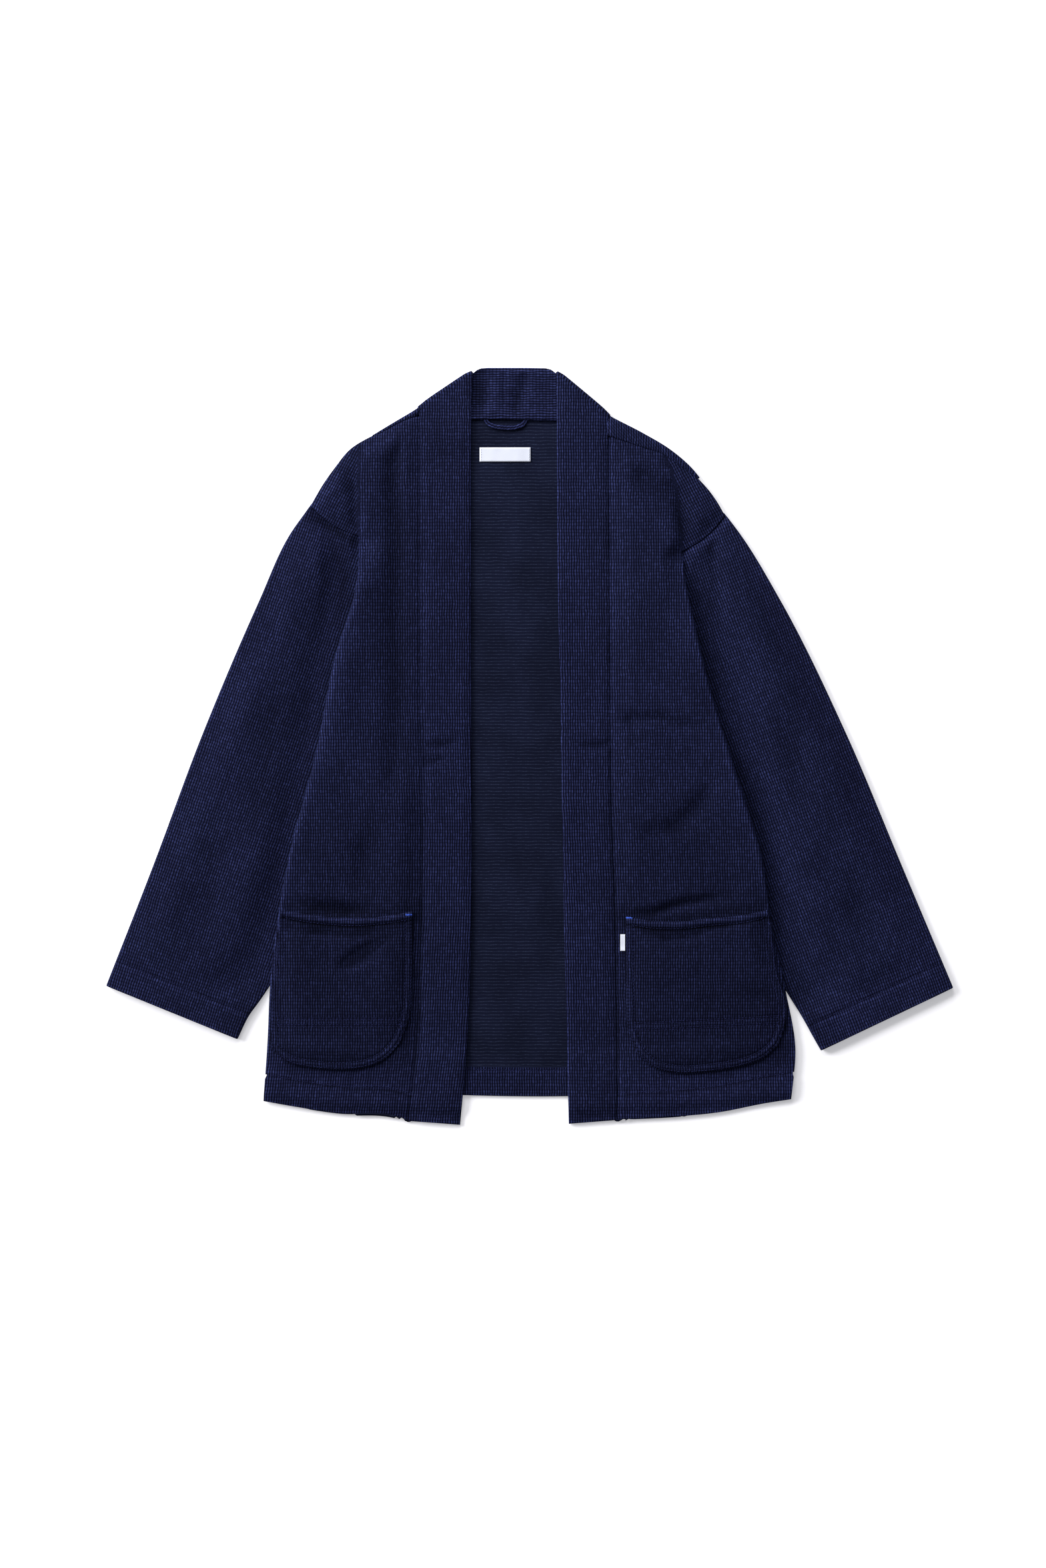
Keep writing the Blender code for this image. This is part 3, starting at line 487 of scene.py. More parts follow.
def creases(across, up, rows):
    """Height of creases: the deepest bell over the pieces of each crease's line, added for all creases."""
    height = np.zeros(np.broadcast(across, up).shape)
    for number in np.unique(rows["crease"]):
        line = np.column_stack([rows[name] for name in ("across", "up", "half_width", "height")])
        line = line[rows["crease"] == number]
        deepest = np.zeros_like(height)
        for start, end in zip(line[:-1], line[1:]):
            run = end[:2] - start[:2]
            from_start = (across - start[0], up - start[1])
            share = np.clip((from_start[0] * run[0] + from_start[1] * run[1]) / (run @ run), 0.0, 1.0)
            away = np.hypot(from_start[0] - share * run[0], from_start[1] - share * run[1])
            width, depth = (start[place] + share * (end[place] - start[place]) for place in (2, 3))
            here = depth * bell(away, width)
            deepest = np.where(np.abs(here) > np.abs(deepest), here, deepest)
        height = height + deepest
    return np.where(height < 0, CREASE_DEPTH, CREASE_RISE) * height


def uneven(across, up, size, seed):
    """Soft unevenness between -1 and 1: seeded values on a square lattice, blended smoothly between them."""
    lattice = np.random.default_rng(seed).uniform(-1.0, 1.0, (96, 96))
    column = np.asarray(across, float) / size + 48.0
    row = np.asarray(up, float) / size + 48.0
    column_floor = np.clip(np.floor(column).astype(int), 0, 94)
    row_floor = np.clip(np.floor(row).astype(int), 0, 94)
    u = step(column - column_floor, 0.0, 1.0)
    v = step(row - row_floor, 0.0, 1.0)
    low = lattice[row_floor, column_floor] * (1 - u) + lattice[row_floor, column_floor + 1] * u
    high = lattice[row_floor + 1, column_floor] * (1 - u) + lattice[row_floor + 1, column_floor + 1] * u
    return low * (1 - v) + high * v


def puckers(place, seed):
    """Small uneven waves along a seam, between about -1 and 1."""
    return 0.6 * uneven(place, 0.0 * place, 7.0, seed) + 0.6 * uneven(place, 0.0 * place, 13.0, seed + 1)


def outward(line):
    """Plan normals on the left of a line's direction of travel."""
    run = np.gradient(line, axis=0)
    run = run / np.linalg.norm(run, axis=1)[:, None]
    return np.column_stack((-run[:, 1], run[:, 0]))


def line_distance(plan, line):
    """Distance in plan from each point to a line of close points."""
    flat = plan.reshape(-1, 2)
    nearest = np.full(len(flat), np.inf)
    for start, end in zip(line[:-1], line[1:]):
        run = end - start
        share = np.clip((flat - start) @ run / (run @ run), 0.0, 1.0)
        away = np.linalg.norm(flat - start - share[:, None] * run, axis=1)
        nearest = np.minimum(nearest, away)
    return nearest.reshape(plan.shape[:-1])


def rounded(distance):
    """Share of a wall's thickness near its edge: a quarter round over the edge's last millimetres."""
    inside = np.clip(distance / EDGE_ROUND, 0.0, 1.0)
    return EDGE_THIN + (1 - EDGE_THIN) * np.sqrt(1 - (1 - inside) ** 2)


def back_top(across, up):
    """Top of the back panel: one layer, two in its turned-up hem, none past its edge."""
    above_hem = up - np.interp(across, BACK_HEM_LINE["across"], BACK_HEM_LINE["up"])
    layers = CLOTH + HEM_LAYER * (1 - step(above_hem, BACK_HEM + 8, BACK_HEM + 24))
    return layers * step(above_hem, -24, -10)


def back_relief(across, up):
    """How far the back panel lifts off the surface in the front opening."""
    middle = step(across, -66, -40) * (1 - step(across, 14, 34))
    soft = 0.35 + 0.35 * uneven(across, up, 38.0, 3) + creases(across, up, BACK_CREASES)
    return np.maximum(soft, 0.0) * middle * step(up, -345, -300) * (1 - step(up, 318, 338))


def sleeve_edge_across(up, side):
    """Where the sleeve's inner edge runs under the front, as a distance from the middle."""
    hem_side = points(CUFF_INNER[side])
    past_cuff = hem_side[:1] * (1.13, 1.0) - (0.0, 40.0)
    line = np.vstack((past_cuff, hem_side, points(ARMHOLE[side])))
    return np.interp(up, line[:, 1], np.abs(line[:, 0]))


def under_front(across, up, side):
    """Height of what a front panel lies on: the back, or the sleeve's pressed inner edge."""
    base = back_top(across, up)
    past_edge = np.abs(across) - sleeve_edge_across(up, side)
    lift = step(past_edge, -PRESS_WIDTH, 0) * step(ARMHOLE[side]["up"][-1] - up, 3, 24)
    return base + np.maximum(SLEEVE_PRESSED - base, 0) * lift


def front_middle(across, up, side):
    """Height of the middle of a front panel's wall, from its plan place alone.

    The panel lies on what is under it, bulges inside its edges, stands up a little at its folded side and
    has creases, small puckers beside the seam, and a groove where the hem is stitched.
    """
    lines = (BAND_SEAM[side], FRONT_FOLD[side], FRONT_HEM_LINE[side], FRONT_TOP_LINE[side])
    seam, fold, hem, top = (points(rows) for rows in lines)
    top = top[np.argsort(top[:, 0])]
    from_seam = np.abs(across - np.interp(up, seam[:, 1], seam[:, 0]))
    from_fold = np.maximum(np.abs(np.interp(up, fold[:, 1], fold[:, 0])) - np.abs(across), 0.0)
    from_hem = up - np.interp(across, hem[:, 0], hem[:, 1])
    from_top = np.maximum(np.interp(across, top[:, 0], top[:, 1]) - up, 0.0)
    folded = step(up, -235, -120) * step(ARMHOLE[side]["up"][-1] - up, 6, 60)
    at_side = folded + (1 - folded) * step(from_fold, 0, 26)
    armhole_top = points(ARMHOLE[side])[-1]
    run = np.array(SHOULDER_POINT[side]) - armhole_top
    rise = np.array((-run[1], run[0])) * np.sign(run[0]) / np.linalg.norm(run)
    from_head = (across - armhole_top[0]) * rise[0] + (up - armhole_top[1]) * rise[1]
    in_cap = step(up - armhole_top[1], -16, 4)
    at_side = at_side * (1 - in_cap) + step(from_head, -4, 16) * in_cap
    room = step(from_seam, 0, 26) * step(from_hem, FRONT_HEM, FRONT_HEM + 40)
    room = room * step(from_top, 0, 24) * at_side
    seed = SEEDS["front"][side]
    soft = 0.55 * uneven(across, up, 60.0, seed) + 0.22 * uneven(across, up, 19.0, seed + 1)
    puff = FRONT_PUFF * (0.62 + 0.38 * step(up, -230, -60))
    waves = puff + soft + creases(across, up, FRONT_CREASES[side])
    beside_fold = 0.9 * bell(from_fold, 13.0) * folded
    beside_seam = -0.9 * bell(from_seam, 2.6) + 0.65 * puckers(up, seed + 2) * bell(from_seam - 4, 7.0)
    hem_wave = 0.8 * puckers(across, seed + 4) * bell(from_hem - FRONT_HEM - 1, 8.0)
    at_hem = -GROOVE_DEPTH * bell(from_hem - FRONT_HEM, GROOVE_WIDTH) + 0.3 * bell(from_hem - 12, 12.0)
    relief = room * np.maximum(waves, -0.6) + beside_fold + beside_seam + hem_wave + at_hem
    return under_front(across, up, side) + FRONT_LIFT + CLOTH / 2 + relief


class Sheet:
    """An open sheet of quads from grids that share lines of points, with the weave's place at each point."""

    def __init__(self):
        self.points = np.zeros((0, 3))
        self.weave = np.zeros((0, 2))
        self.wear_and_shade = np.zeros(0)
        self.above = np.zeros(0)
        self.below = np.zeros(0)
        self.quads = np.zeros((0, 4), int)
        self.turned = np.zeros(0, bool)

    def add(self, grid, weave, above, below, wear_and_shade=0.0):
        """Adds an array of points, their place in the weave in millimetres, and the wall on both sides."""
        shape = grid.shape[:-1]
        numbers = np.arange(int(np.prod(shape))) + len(self.points)
        self.points = np.vstack((self.points, grid.reshape(-1, 3)))
        self.weave = np.vstack((self.weave, weave.reshape(-1, 2)))
        self.above = np.append(self.above, np.broadcast_to(above, shape))
        self.below = np.append(self.below, np.broadcast_to(below, shape))
        self.wear_and_shade = np.append(self.wear_and_shade, np.broadcast_to(wear_and_shade, shape))
        return numbers.reshape(shape)

    def join(self, numbers, turned=False):
        """Joins a grid of point numbers, rows up, columns to the right; turned cloth shows its reverse."""
        corners = (numbers[:-1, :-1], numbers[:-1, 1:], numbers[1:, 1:], numbers[1:, :-1])
        added = np.stack([c.ravel() for c in corners], axis=1)
        self.quads = np.vstack((self.quads, added))
        self.turned = np.append(self.turned, np.broadcast_to(turned, len(added)))


def link(name, mesh):
    """An object for a finished mesh, at the origin."""
    piece = bpy.data.objects.new(name, mesh)
    bpy.context.scene.collection.objects.link(piece)
    return piece


def smooth_mesh(name, spots, faces, materials):
    """A smoothly shaded mesh from points in millimetres."""
    mesh = bpy.data.meshes.new(name)
    mesh.from_pydata(spots * MM, [], faces)
    for material in materials:
        mesh.materials.append(material)
    mesh.polygons.foreach_set("use_smooth", np.ones(len(faces), bool))
    return mesh


def make_cloth(name, sheet, materials):
    """A closed cloth wall: the sheet's points moved out along its normals both ways, joined at the borders.

    The materials are the cloth's face and, where its other side shows, its reverse.
    """
    spots, quads = sheet.points, sheet.quads
    faces = np.cross(spots[quads[:, 2]] - spots[quads[:, 0]], spots[quads[:, 3]] - spots[quads[:, 1]])
    unit_faces = faces / np.maximum(np.linalg.norm(faces, axis=1), 1e-12)[:, None]
    normals = np.zeros_like(spots)
    for corner in range(4):
        np.add.at(normals, quads[:, corner], unit_faces)
    normals = normals / np.maximum(np.linalg.norm(normals, axis=1), 1e-6)[:, None]
    outer = spots + normals * sheet.above[:, None]
    inner = spots - normals * sheet.below[:, None]
    outer[:, 2] = np.maximum(outer[:, 2], 0.0)
    inner[:, 2] = np.maximum(inner[:, 2], 0.0)
    count = len(spots)
    edges = np.vstack([np.column_stack((quads[:, c], quads[:, (c + 1) % 4])) for c in range(4)])
    keys = edges[:, 0] * count + edges[:, 1]
    alone = ~np.isin(edges[:, 1] * count + edges[:, 0], keys)
    start, end = edges[alone, 0], edges[alone, 1]
    borders = np.column_stack((end, start, start + count, end + count))
    all_faces = np.vstack((quads, quads[:, ::-1] + count, borders))
    mesh = smooth_mesh(name, np.vstack((outer, inner)), all_faces.tolist(), materials)
    if len(materials) > 1:
        kinds = np.concatenate((sheet.turned, ~sheet.turned, np.zeros(len(borders))))
        mesh.polygons.foreach_set("material_index", kinds.astype(np.int32))
    weave = mesh.uv_layers.new(name="weave")
    corner_points = all_faces.ravel() % count
    weave.data.foreach_set("uv", (sheet.weave[corner_points]).ravel())
    # Real wear together with painted shade and painted highlights, as one attribute that lightens or darkens
    # the cloth's colour
    wear_and_shade = mesh.attributes.new("wear_and_shade", "FLOAT", "POINT")
    wear_and_shade.data.foreach_set("value", np.concatenate((sheet.wear_and_shade, sheet.wear_and_shade)))
    mesh.update()
    return link(name, mesh)


def one_grid(name, parts, materials, mirrored=False, closed=False):
    """Cloth from one grid: its points, weave, wall above and below, and its wear with painted shade and
    highlights; a closed one is a tube.
    """
    sheet = Sheet()
    numbers = sheet.add(*parts)
    if closed:
        numbers = np.hstack((numbers, numbers[:, :1]))
    sheet.join(numbers[:, ::-1] if mirrored else numbers)
    return make_cloth(name, sheet, materials)


def with_height(plan, height):
    """Plan points and their heights as points in space."""
    return np.concatenate((plan, np.broadcast_to(height, plan.shape[:-1])[..., None]), axis=-1)


def head_line(side, start, count, sag=0.0):
    """Points from the top of the armhole to the shoulder point, straight or sagging in the middle."""
    shares = even(count + 1)[1:, None]
    run = np.array(SHOULDER_POINT[side]) - start
    down = np.array((run[1], -run[0])) / np.linalg.norm(run)
    down = -down * np.sign(down[1])
    return start + shares * run + down * sag * np.sin(np.pi * shares)


def side_line(side):
    """The back's side as close points: hem, side seam, armhole and out to the shoulder point."""
    armhole = smooth(ARMHOLE[side], even(120))
    line = np.vstack((smooth(SIDE_SEAM[side], even(40)), armhole, head_line(side, armhole[-1], 20)))
    return line + np.array((INTO[side] * GAP, 0.0))


def make_back(face, reverse):
    """The back panel: reverse side up, hem turned up inside, wrapped over the shoulders to forward seams.

    A patch between hem, sides and top; then each ridge's outer points go round a half circle and on down
    to the forward seam as straight lines.
    """
    sheet = Sheet()
    ridge_columns = 44
    roll = SHOULDER_ROLL_RADIUS + CLOTH / 2
    right_ridge = smooth(SHOULDER_RIDGE["right"], even(ridge_columns))
    left_ridge = smooth(SHOULDER_RIDGE["left"], even(ridge_columns))[::-1]
    right_out, left_out = outward(right_ridge), outward(left_ridge)
    neck = smooth(NECK_LINE, even(48))
    top = np.vstack((right_ridge - roll * right_out, neck, left_ridge - roll * left_out))
    rows = spaced(BACK_LONG, HEM_STEPS, EDGE_STEPS, 5.5)
    right_side, left_side = along(side_line("right"), rows), along(side_line("left"), rows)
    top[0], top[-1] = right_side[-1], left_side[-1]
    hem_shares = np.interp(top[:, 0], (top[0, 0], -115, 82, top[-1, 0]), (0, 0.3, 0.64, 1))
    bottom = smooth(BACK_HEM_LINE, hem_shares)
    right_side[0], left_side[0] = bottom[0], bottom[-1]
    plan = patch(bottom, top, right_side, left_side)
    across, up = plan[..., 0], plan[..., 1]
    above_hem = grid_reach(plan, 0)
    in_hem = above_hem < BACK_HEM + 0.5
    edge_reach = np.minimum(above_hem, above_hem[-1:] - above_hem)
    height = CLOTH / 2 + back_relief(across, up)
    hem_groove = GROOVE_DEPTH * bell(above_hem - BACK_HEM_ROW, GROOVE_WIDTH)
    hem_wave = 0.25 * puckers(across, 5) * bell(above_hem - BACK_HEM, 8.0) * in_hem
    layer = np.where(in_hem, HEM_LAYER * rounded(BACK_HEM + 1.2 - above_hem) - hem_groove + hem_wave, 0.0)
    wall = CLOTH / 2 * rounded(edge_reach)
    # Lighter where the hem's folded edge is worn, with painted shade along the turned hem's upper edge
    wear_and_shade = 0.5 * bell(above_hem, 2.0) - 0.6 * bell(above_hem - BACK_HEM - 0.6, 1.5)
    numbers = sheet.add(with_height(plan, height), plan, wall + layer * rounded(above_hem), wall, wear_and_shade)
    hem_quads = (in_hem[:-1, :-1] & in_hem[1:, 1:]).ravel()
    sheet.join(numbers, ~hem_quads)

    first = {"right": 0, "left": ridge_columns + len(neck)}
    ridges = {"right": (right_ridge, right_out), "left": (left_ridge, left_out)}
    for side, (ridge, out) in ridges.items():
        share = shares_of(ridge) if side == "right" else shares_of(ridge[::-1])[::-1]
        chosen = np.flatnonzero(share >= WRAP_STARTS[side])
        row = numbers[-1, first[side] + chosen]
        end = -1 if side == "right" else 0
        normal = out[chosen]
        extra = np.array(RIDGE_END[side]) - roll * normal[end]
        place = len(row) if side == "right" else 0
        start = np.insert(top[first[side] + chosen], place, extra, axis=0)
        normal = np.insert(normal, place, normal[end], axis=0)
        extra_number = sheet.add(with_height(extra[None], CLOTH / 2), extra[None], CLOTH / 2, CLOTH / 2)
        row = np.insert(row, place, extra_number)
        turns = np.radians(np.linspace(20, 180, 9))[:, None, None]
        over = start[None] + normal[None] * SHOULDER_ROLL_RADIUS * np.sin(turns)
        lift = CLOTH / 2 + SHOULDER_ROLL_RADIUS * (1 - np.cos(turns[..., 0]))
        rolled = with_height(over, np.broadcast_to(lift, over.shape[:-1]))
        seam_line = smooth(FRONT_TOP_LINE[side], even(90))
        seam_line = seam_line[np.argsort(seam_line[:, 0])]
        seam_up = np.interp(start[:, 0], seam_line[:, 0], seam_line[:, 1]) + GAP
        seam_up = np.minimum(seam_up, start[:, 1] - 0.5)
        seam = np.column_stack((start[:, 0], seam_up))
        shares = np.linspace(0, 1, 10)[1:, None, None]
        strip = start[None] * (1 - shares) + seam[None] * shares
        from_seam = strip[..., 1] - seam_up[None]
        puff = 0.9 * np.clip(from_seam / 5, 0, 1) * bell(from_seam - 8, 12.0) - 0.5 * bell(from_seam, 1.5)
        puff = puff + 0.9 * bell(strip[..., 0] - RIDGE_END[side][0], 7.0)
        flat_top = with_height(strip, CLOTH / 2 + 2 * SHOULDER_ROLL_RADIUS + puff)
        grid = np.concatenate((rolled, flat_top))
        weave = np.stack((grid[..., 0], start[None, :, 1] + grid_reach(grid, 0)), axis=-1)
        wear_and_shade = 0.4 * bell(grid[..., 2] - 4.0, 1.5)
        # Painted shade along the forward seam
        wear_and_shade[len(rolled):] -= 0.45 * bell(from_seam - 0.4, 1.0)
        added = sheet.add(grid, weave, CLOTH / 2, CLOTH / 2, wear_and_shade)
        sheet.join(np.vstack((row[None], added)), True)
    return make_cloth("back_panel", sheet, (face, reverse))


def front_rows():
    """Shares of a front's length at which its rows lie."""
    return spaced(FRONT_LONG, HEM_STEPS, EDGE_STEPS, PANEL_STEP)


def seam_painted_shade(up, from_seam):
    """Painted shade in the seam of front and band, deeper low down."""
    return -(0.15 + 0.55 * (1 - step(up, -200, 120))) * bell(from_seam - 0.4, 1.6)


def front_lines(side):
    """A front's hem, top, side and seam lines, with the side drawn in by what its fold takes."""
    into = INTO[side]
    rows = front_rows()
    fold = smooth(FRONT_FOLD[side], rows)
    low = under_front(fold[:, 0], fold[:, 1], side) + GAP + CLOTH / 2
    radius = np.maximum((front_middle(fold[:, 0], fold[:, 1], side) - low) / 2, 0.4)
    away = outward(fold) * into
    above_hem = step(reach_of(fold), FRONT_HEM - 5, FRONT_HEM)
    drawn_in = fold - away * ((radius + CLOTH / 2) * above_hem)[:, None]
    side_edge = np.vstack((drawn_in, head_line(side, drawn_in[-1], 16, HEAD_SAG)))
    side_edge[-1] = points(FRONT_TOP_LINE[side])[0]
    seam_high = points(FRONT_TOP_LINE[side])[-1]
    seam_shares = np.concatenate((rows * 0.93, np.linspace(0.93, 1.0, 17)[1:]))
    seam = smooth(BAND_SEAM[side], seam_shares)
    seam[:, 0] += into * SEAM_RUN
    seam[:, 1] += (seam_high[1] - seam[-1, 1]) * seam_shares**6
    seam[-1] = seam_high
    columns = spaced(FRONT_WIDE, EDGE_STEPS, EDGE_STEPS, 2.9)
    hem = smooth(FRONT_HEM_LINE[side], columns)
    top = smooth(FRONT_TOP_LINE[side], columns if side == "right" else 1 - columns)
    return hem, top, side_edge, seam, away, radius


def make_front(side, face, reverse):
    """A front panel with its turned-up hem and its side edge rolled under.

    A patch between hem, top, side and seam at the height of front_middle; the side edge then goes round a
    half circle and, over the sleeve, runs back inwards.
    """
    into = INTO[side]
    hem, top, side_edge, seam, away, radius = front_lines(side)
    if side == "right":
        hem[0], seam[0] = side_edge[0], hem[-1]
        plan = patch(hem, top, side_edge, seam)
    else:
        hem[-1], seam[0] = side_edge[0], hem[0]
        plan = patch(hem, top, seam, side_edge)
    across, up = plan[..., 0], plan[..., 1]
    grid = with_height(plan, front_middle(across, up, side))
    edge_column = 0 if side == "right" else -1
    above_hem = grid_reach(plan, 0)
    from_top = above_hem[-1:] - above_hem
    from_left = grid_reach(plan, 1)
    from_side, from_seam = (from_left, from_left[:, -1:] - from_left)[::into]
    fold_rows = len(front_rows())
    above_fold = np.arange(len(plan))[:, None] >= fold_rows
    seamed_side = np.where(above_fold, from_side, np.inf)
    edge = np.minimum(np.minimum(above_hem, from_top), np.minimum(from_seam, seamed_side))
    wall = CLOTH / 2 * rounded(edge)
    layer = np.where(above_hem < FRONT_HEM, HEM_LAYER, 0.0) * rounded(above_hem)
    seam_points = points(BAND_SEAM[side])
    weave_across = across - np.interp(up, seam_points[:, 1], seam_points[:, 0])
    weave = np.stack((weave_across, up), axis=-1)
    cap = np.array(CAP_LINE[side])
    in_cap = (np.abs(across) > np.abs(np.interp(up, cap[:, 0], cap[:, 1]))) & above_fold
    turn = np.radians(CAP_TURN[side])
    turned_across = across * np.cos(turn) - up * np.sin(turn)
    turned_up = across * np.sin(turn) + up * np.cos(turn)
    weave[in_cap] = np.stack((turned_across, turned_up), axis=-1)[in_cap]
    # Lighter where the hem's and the side's folded edges are worn
    wear_and_shade = 0.7 * bell(above_hem, 1.8) + 0.55 * bell(from_side, 4.0)
    # Painted highlight along the side that faces the lamp and on the ridge beside the seam
    wear_and_shade = wear_and_shade + SIDE_PAINTED_HIGHLIGHT[side] * bell(from_side, 17.0) + 0.3 * bell(from_seam - SEAM_RUN - 4, 2.0)
    # Painted shade in the seam of front and band
    wear_and_shade = wear_and_shade + seam_painted_shade(up, from_seam - SEAM_RUN)
    # Painted shade in the hem's stitched groove and a painted highlight on the ridge above it
    wear_and_shade = wear_and_shade - bell(above_hem - FRONT_HEM, 1.5) + 0.5 * bell(above_hem - FRONT_HEM - 3.4, 1.6)
    wear_and_shade = wear_and_shade - HEM_DARKER * (1 - step(up, -260, 60)) * step(up, -352, -318)
    # Painted shade in the troughs of the creases
    wear_and_shade = wear_and_shade + TROUGH_PAINTED_SHADE * np.minimum(creases(across, up, FRONT_CREASES[side]), 0.0)
    # Painted light, lighter towards the hem
    wear_and_shade = wear_and_shade + HEM_PAINTED_LIGHT[side] * (1 - step(up, -352, -318))
    # Painted shade above the pocket's mouth, where the pocket gapes
    above_mouth = line_distance(plan, smooth(POCKET[side]["mouth"], even(24)))
    wear_and_shade = wear_and_shade - 0.5 * bell(above_mouth - 5, 6.0)
    sheet = Sheet()
    numbers = sheet.add(grid, weave, wall, wall + layer, wear_and_shade)
    sheet.join(numbers)

    # The side edge turns under from just above the hem, and over the sleeve the turned cloth runs on inwards
    low_row = int(np.argmax(above_hem[:, edge_column] > FRONT_HEM + 0.5))
    start = grid[low_row:fold_rows, edge_column]
    away, radius = away[low_row:fold_rows], radius[low_row:fold_rows]
    height = start[:, 2] - under_front(start[:, 0], start[:, 1], side) - GAP - CLOTH / 2
    radius = np.clip(radius, 0.3, height / 2)
    tucked = step(start[:, 1], -250, -222) * step(ARMHOLE[side]["up"][-1] - start[:, 1], 16, 44)
    angle = np.radians(np.linspace(15, 180, 12))[:, None]
    over = start[None, :, :2] + away[None] * (radius * np.sin(angle))[..., None]
    drop = radius * (1 - np.cos(angle))
    rolled = np.concatenate((over, (start[None, :, 2] - drop)[..., None]), axis=-1)
    shares = np.array((0.34, 0.67, 1.0))[:, None]
    length = (0.4 + SIDE_RETURN * tucked) * shares
    tail_plan = rolled[-1, :, :2][None] - away[None] * length[..., None]
    settled = under_front(tail_plan[..., 0], tail_plan[..., 1], side)
    settled = settled - under_front(start[:, 0], start[:, 1], side)
    tail = with_height(tail_plan, rolled[-1, :, 2][None] + settled * tucked)
    under = np.swapaxes(np.concatenate((rolled, tail)), 0, 1)
    reach = grid_reach(np.concatenate((start[:, None], under), axis=1), 1)[:, 1:]
    beside_edge = weave_across[low_row:fold_rows, edge_column][:, None] - into * reach
    weave = np.stack((beside_edge, under[..., 1]), axis=-1)
    wall = CLOTH / 2 * rounded(reach[:, -1:] - reach)
    added = sheet.add(under, weave, wall, wall, 0.6 * bell(reach, 5.0))
    edge_numbers = numbers[low_row:fold_rows, edge_column][:, None]
    if side == "right":
        sheet.join(np.hstack((added[:, ::-1], edge_numbers)))
    else:
        sheet.join(np.hstack((edge_numbers, added)))
    return make_cloth("front_panel_" + side, sheet, (face, reverse))


def sleeve_high(from_edge, from_outer, from_head, from_cuff):
    """Height of the sleeve's top: tucked under the front, full in the middle, thicker at the cuff's hem."""
    free = SLEEVE_PRESSED + (SLEEVE_FREE - SLEEVE_PRESSED) * step(from_edge, 26, 60)
    full = SLEEVE_PUFF * step(from_edge, 24, 76) * step(from_outer, -2, 40)
    covered = HEAD_TUCK + HEAD_SAG * np.sin(np.pi * np.clip(from_edge / (from_edge + from_outer), 0, 1))
    beyond_front = step(from_head - covered, -0.5, 3.5) * step(from_edge, 6, 16)
    at_head = HEAD_TUCKED + (SLEEVE_HEAD + 0.8 - HEAD_TUCKED) * beyond_front
    headed = at_head + (free + full - at_head) * step(from_head - covered, 2, 34)
    cuff = CUFF_HIGH + CUFF_PUFF * step(from_edge, 2, 20) * step(from_outer, 2, 20)
    return headed + (cuff - headed) * (1 - step(from_cuff, 30, 62))


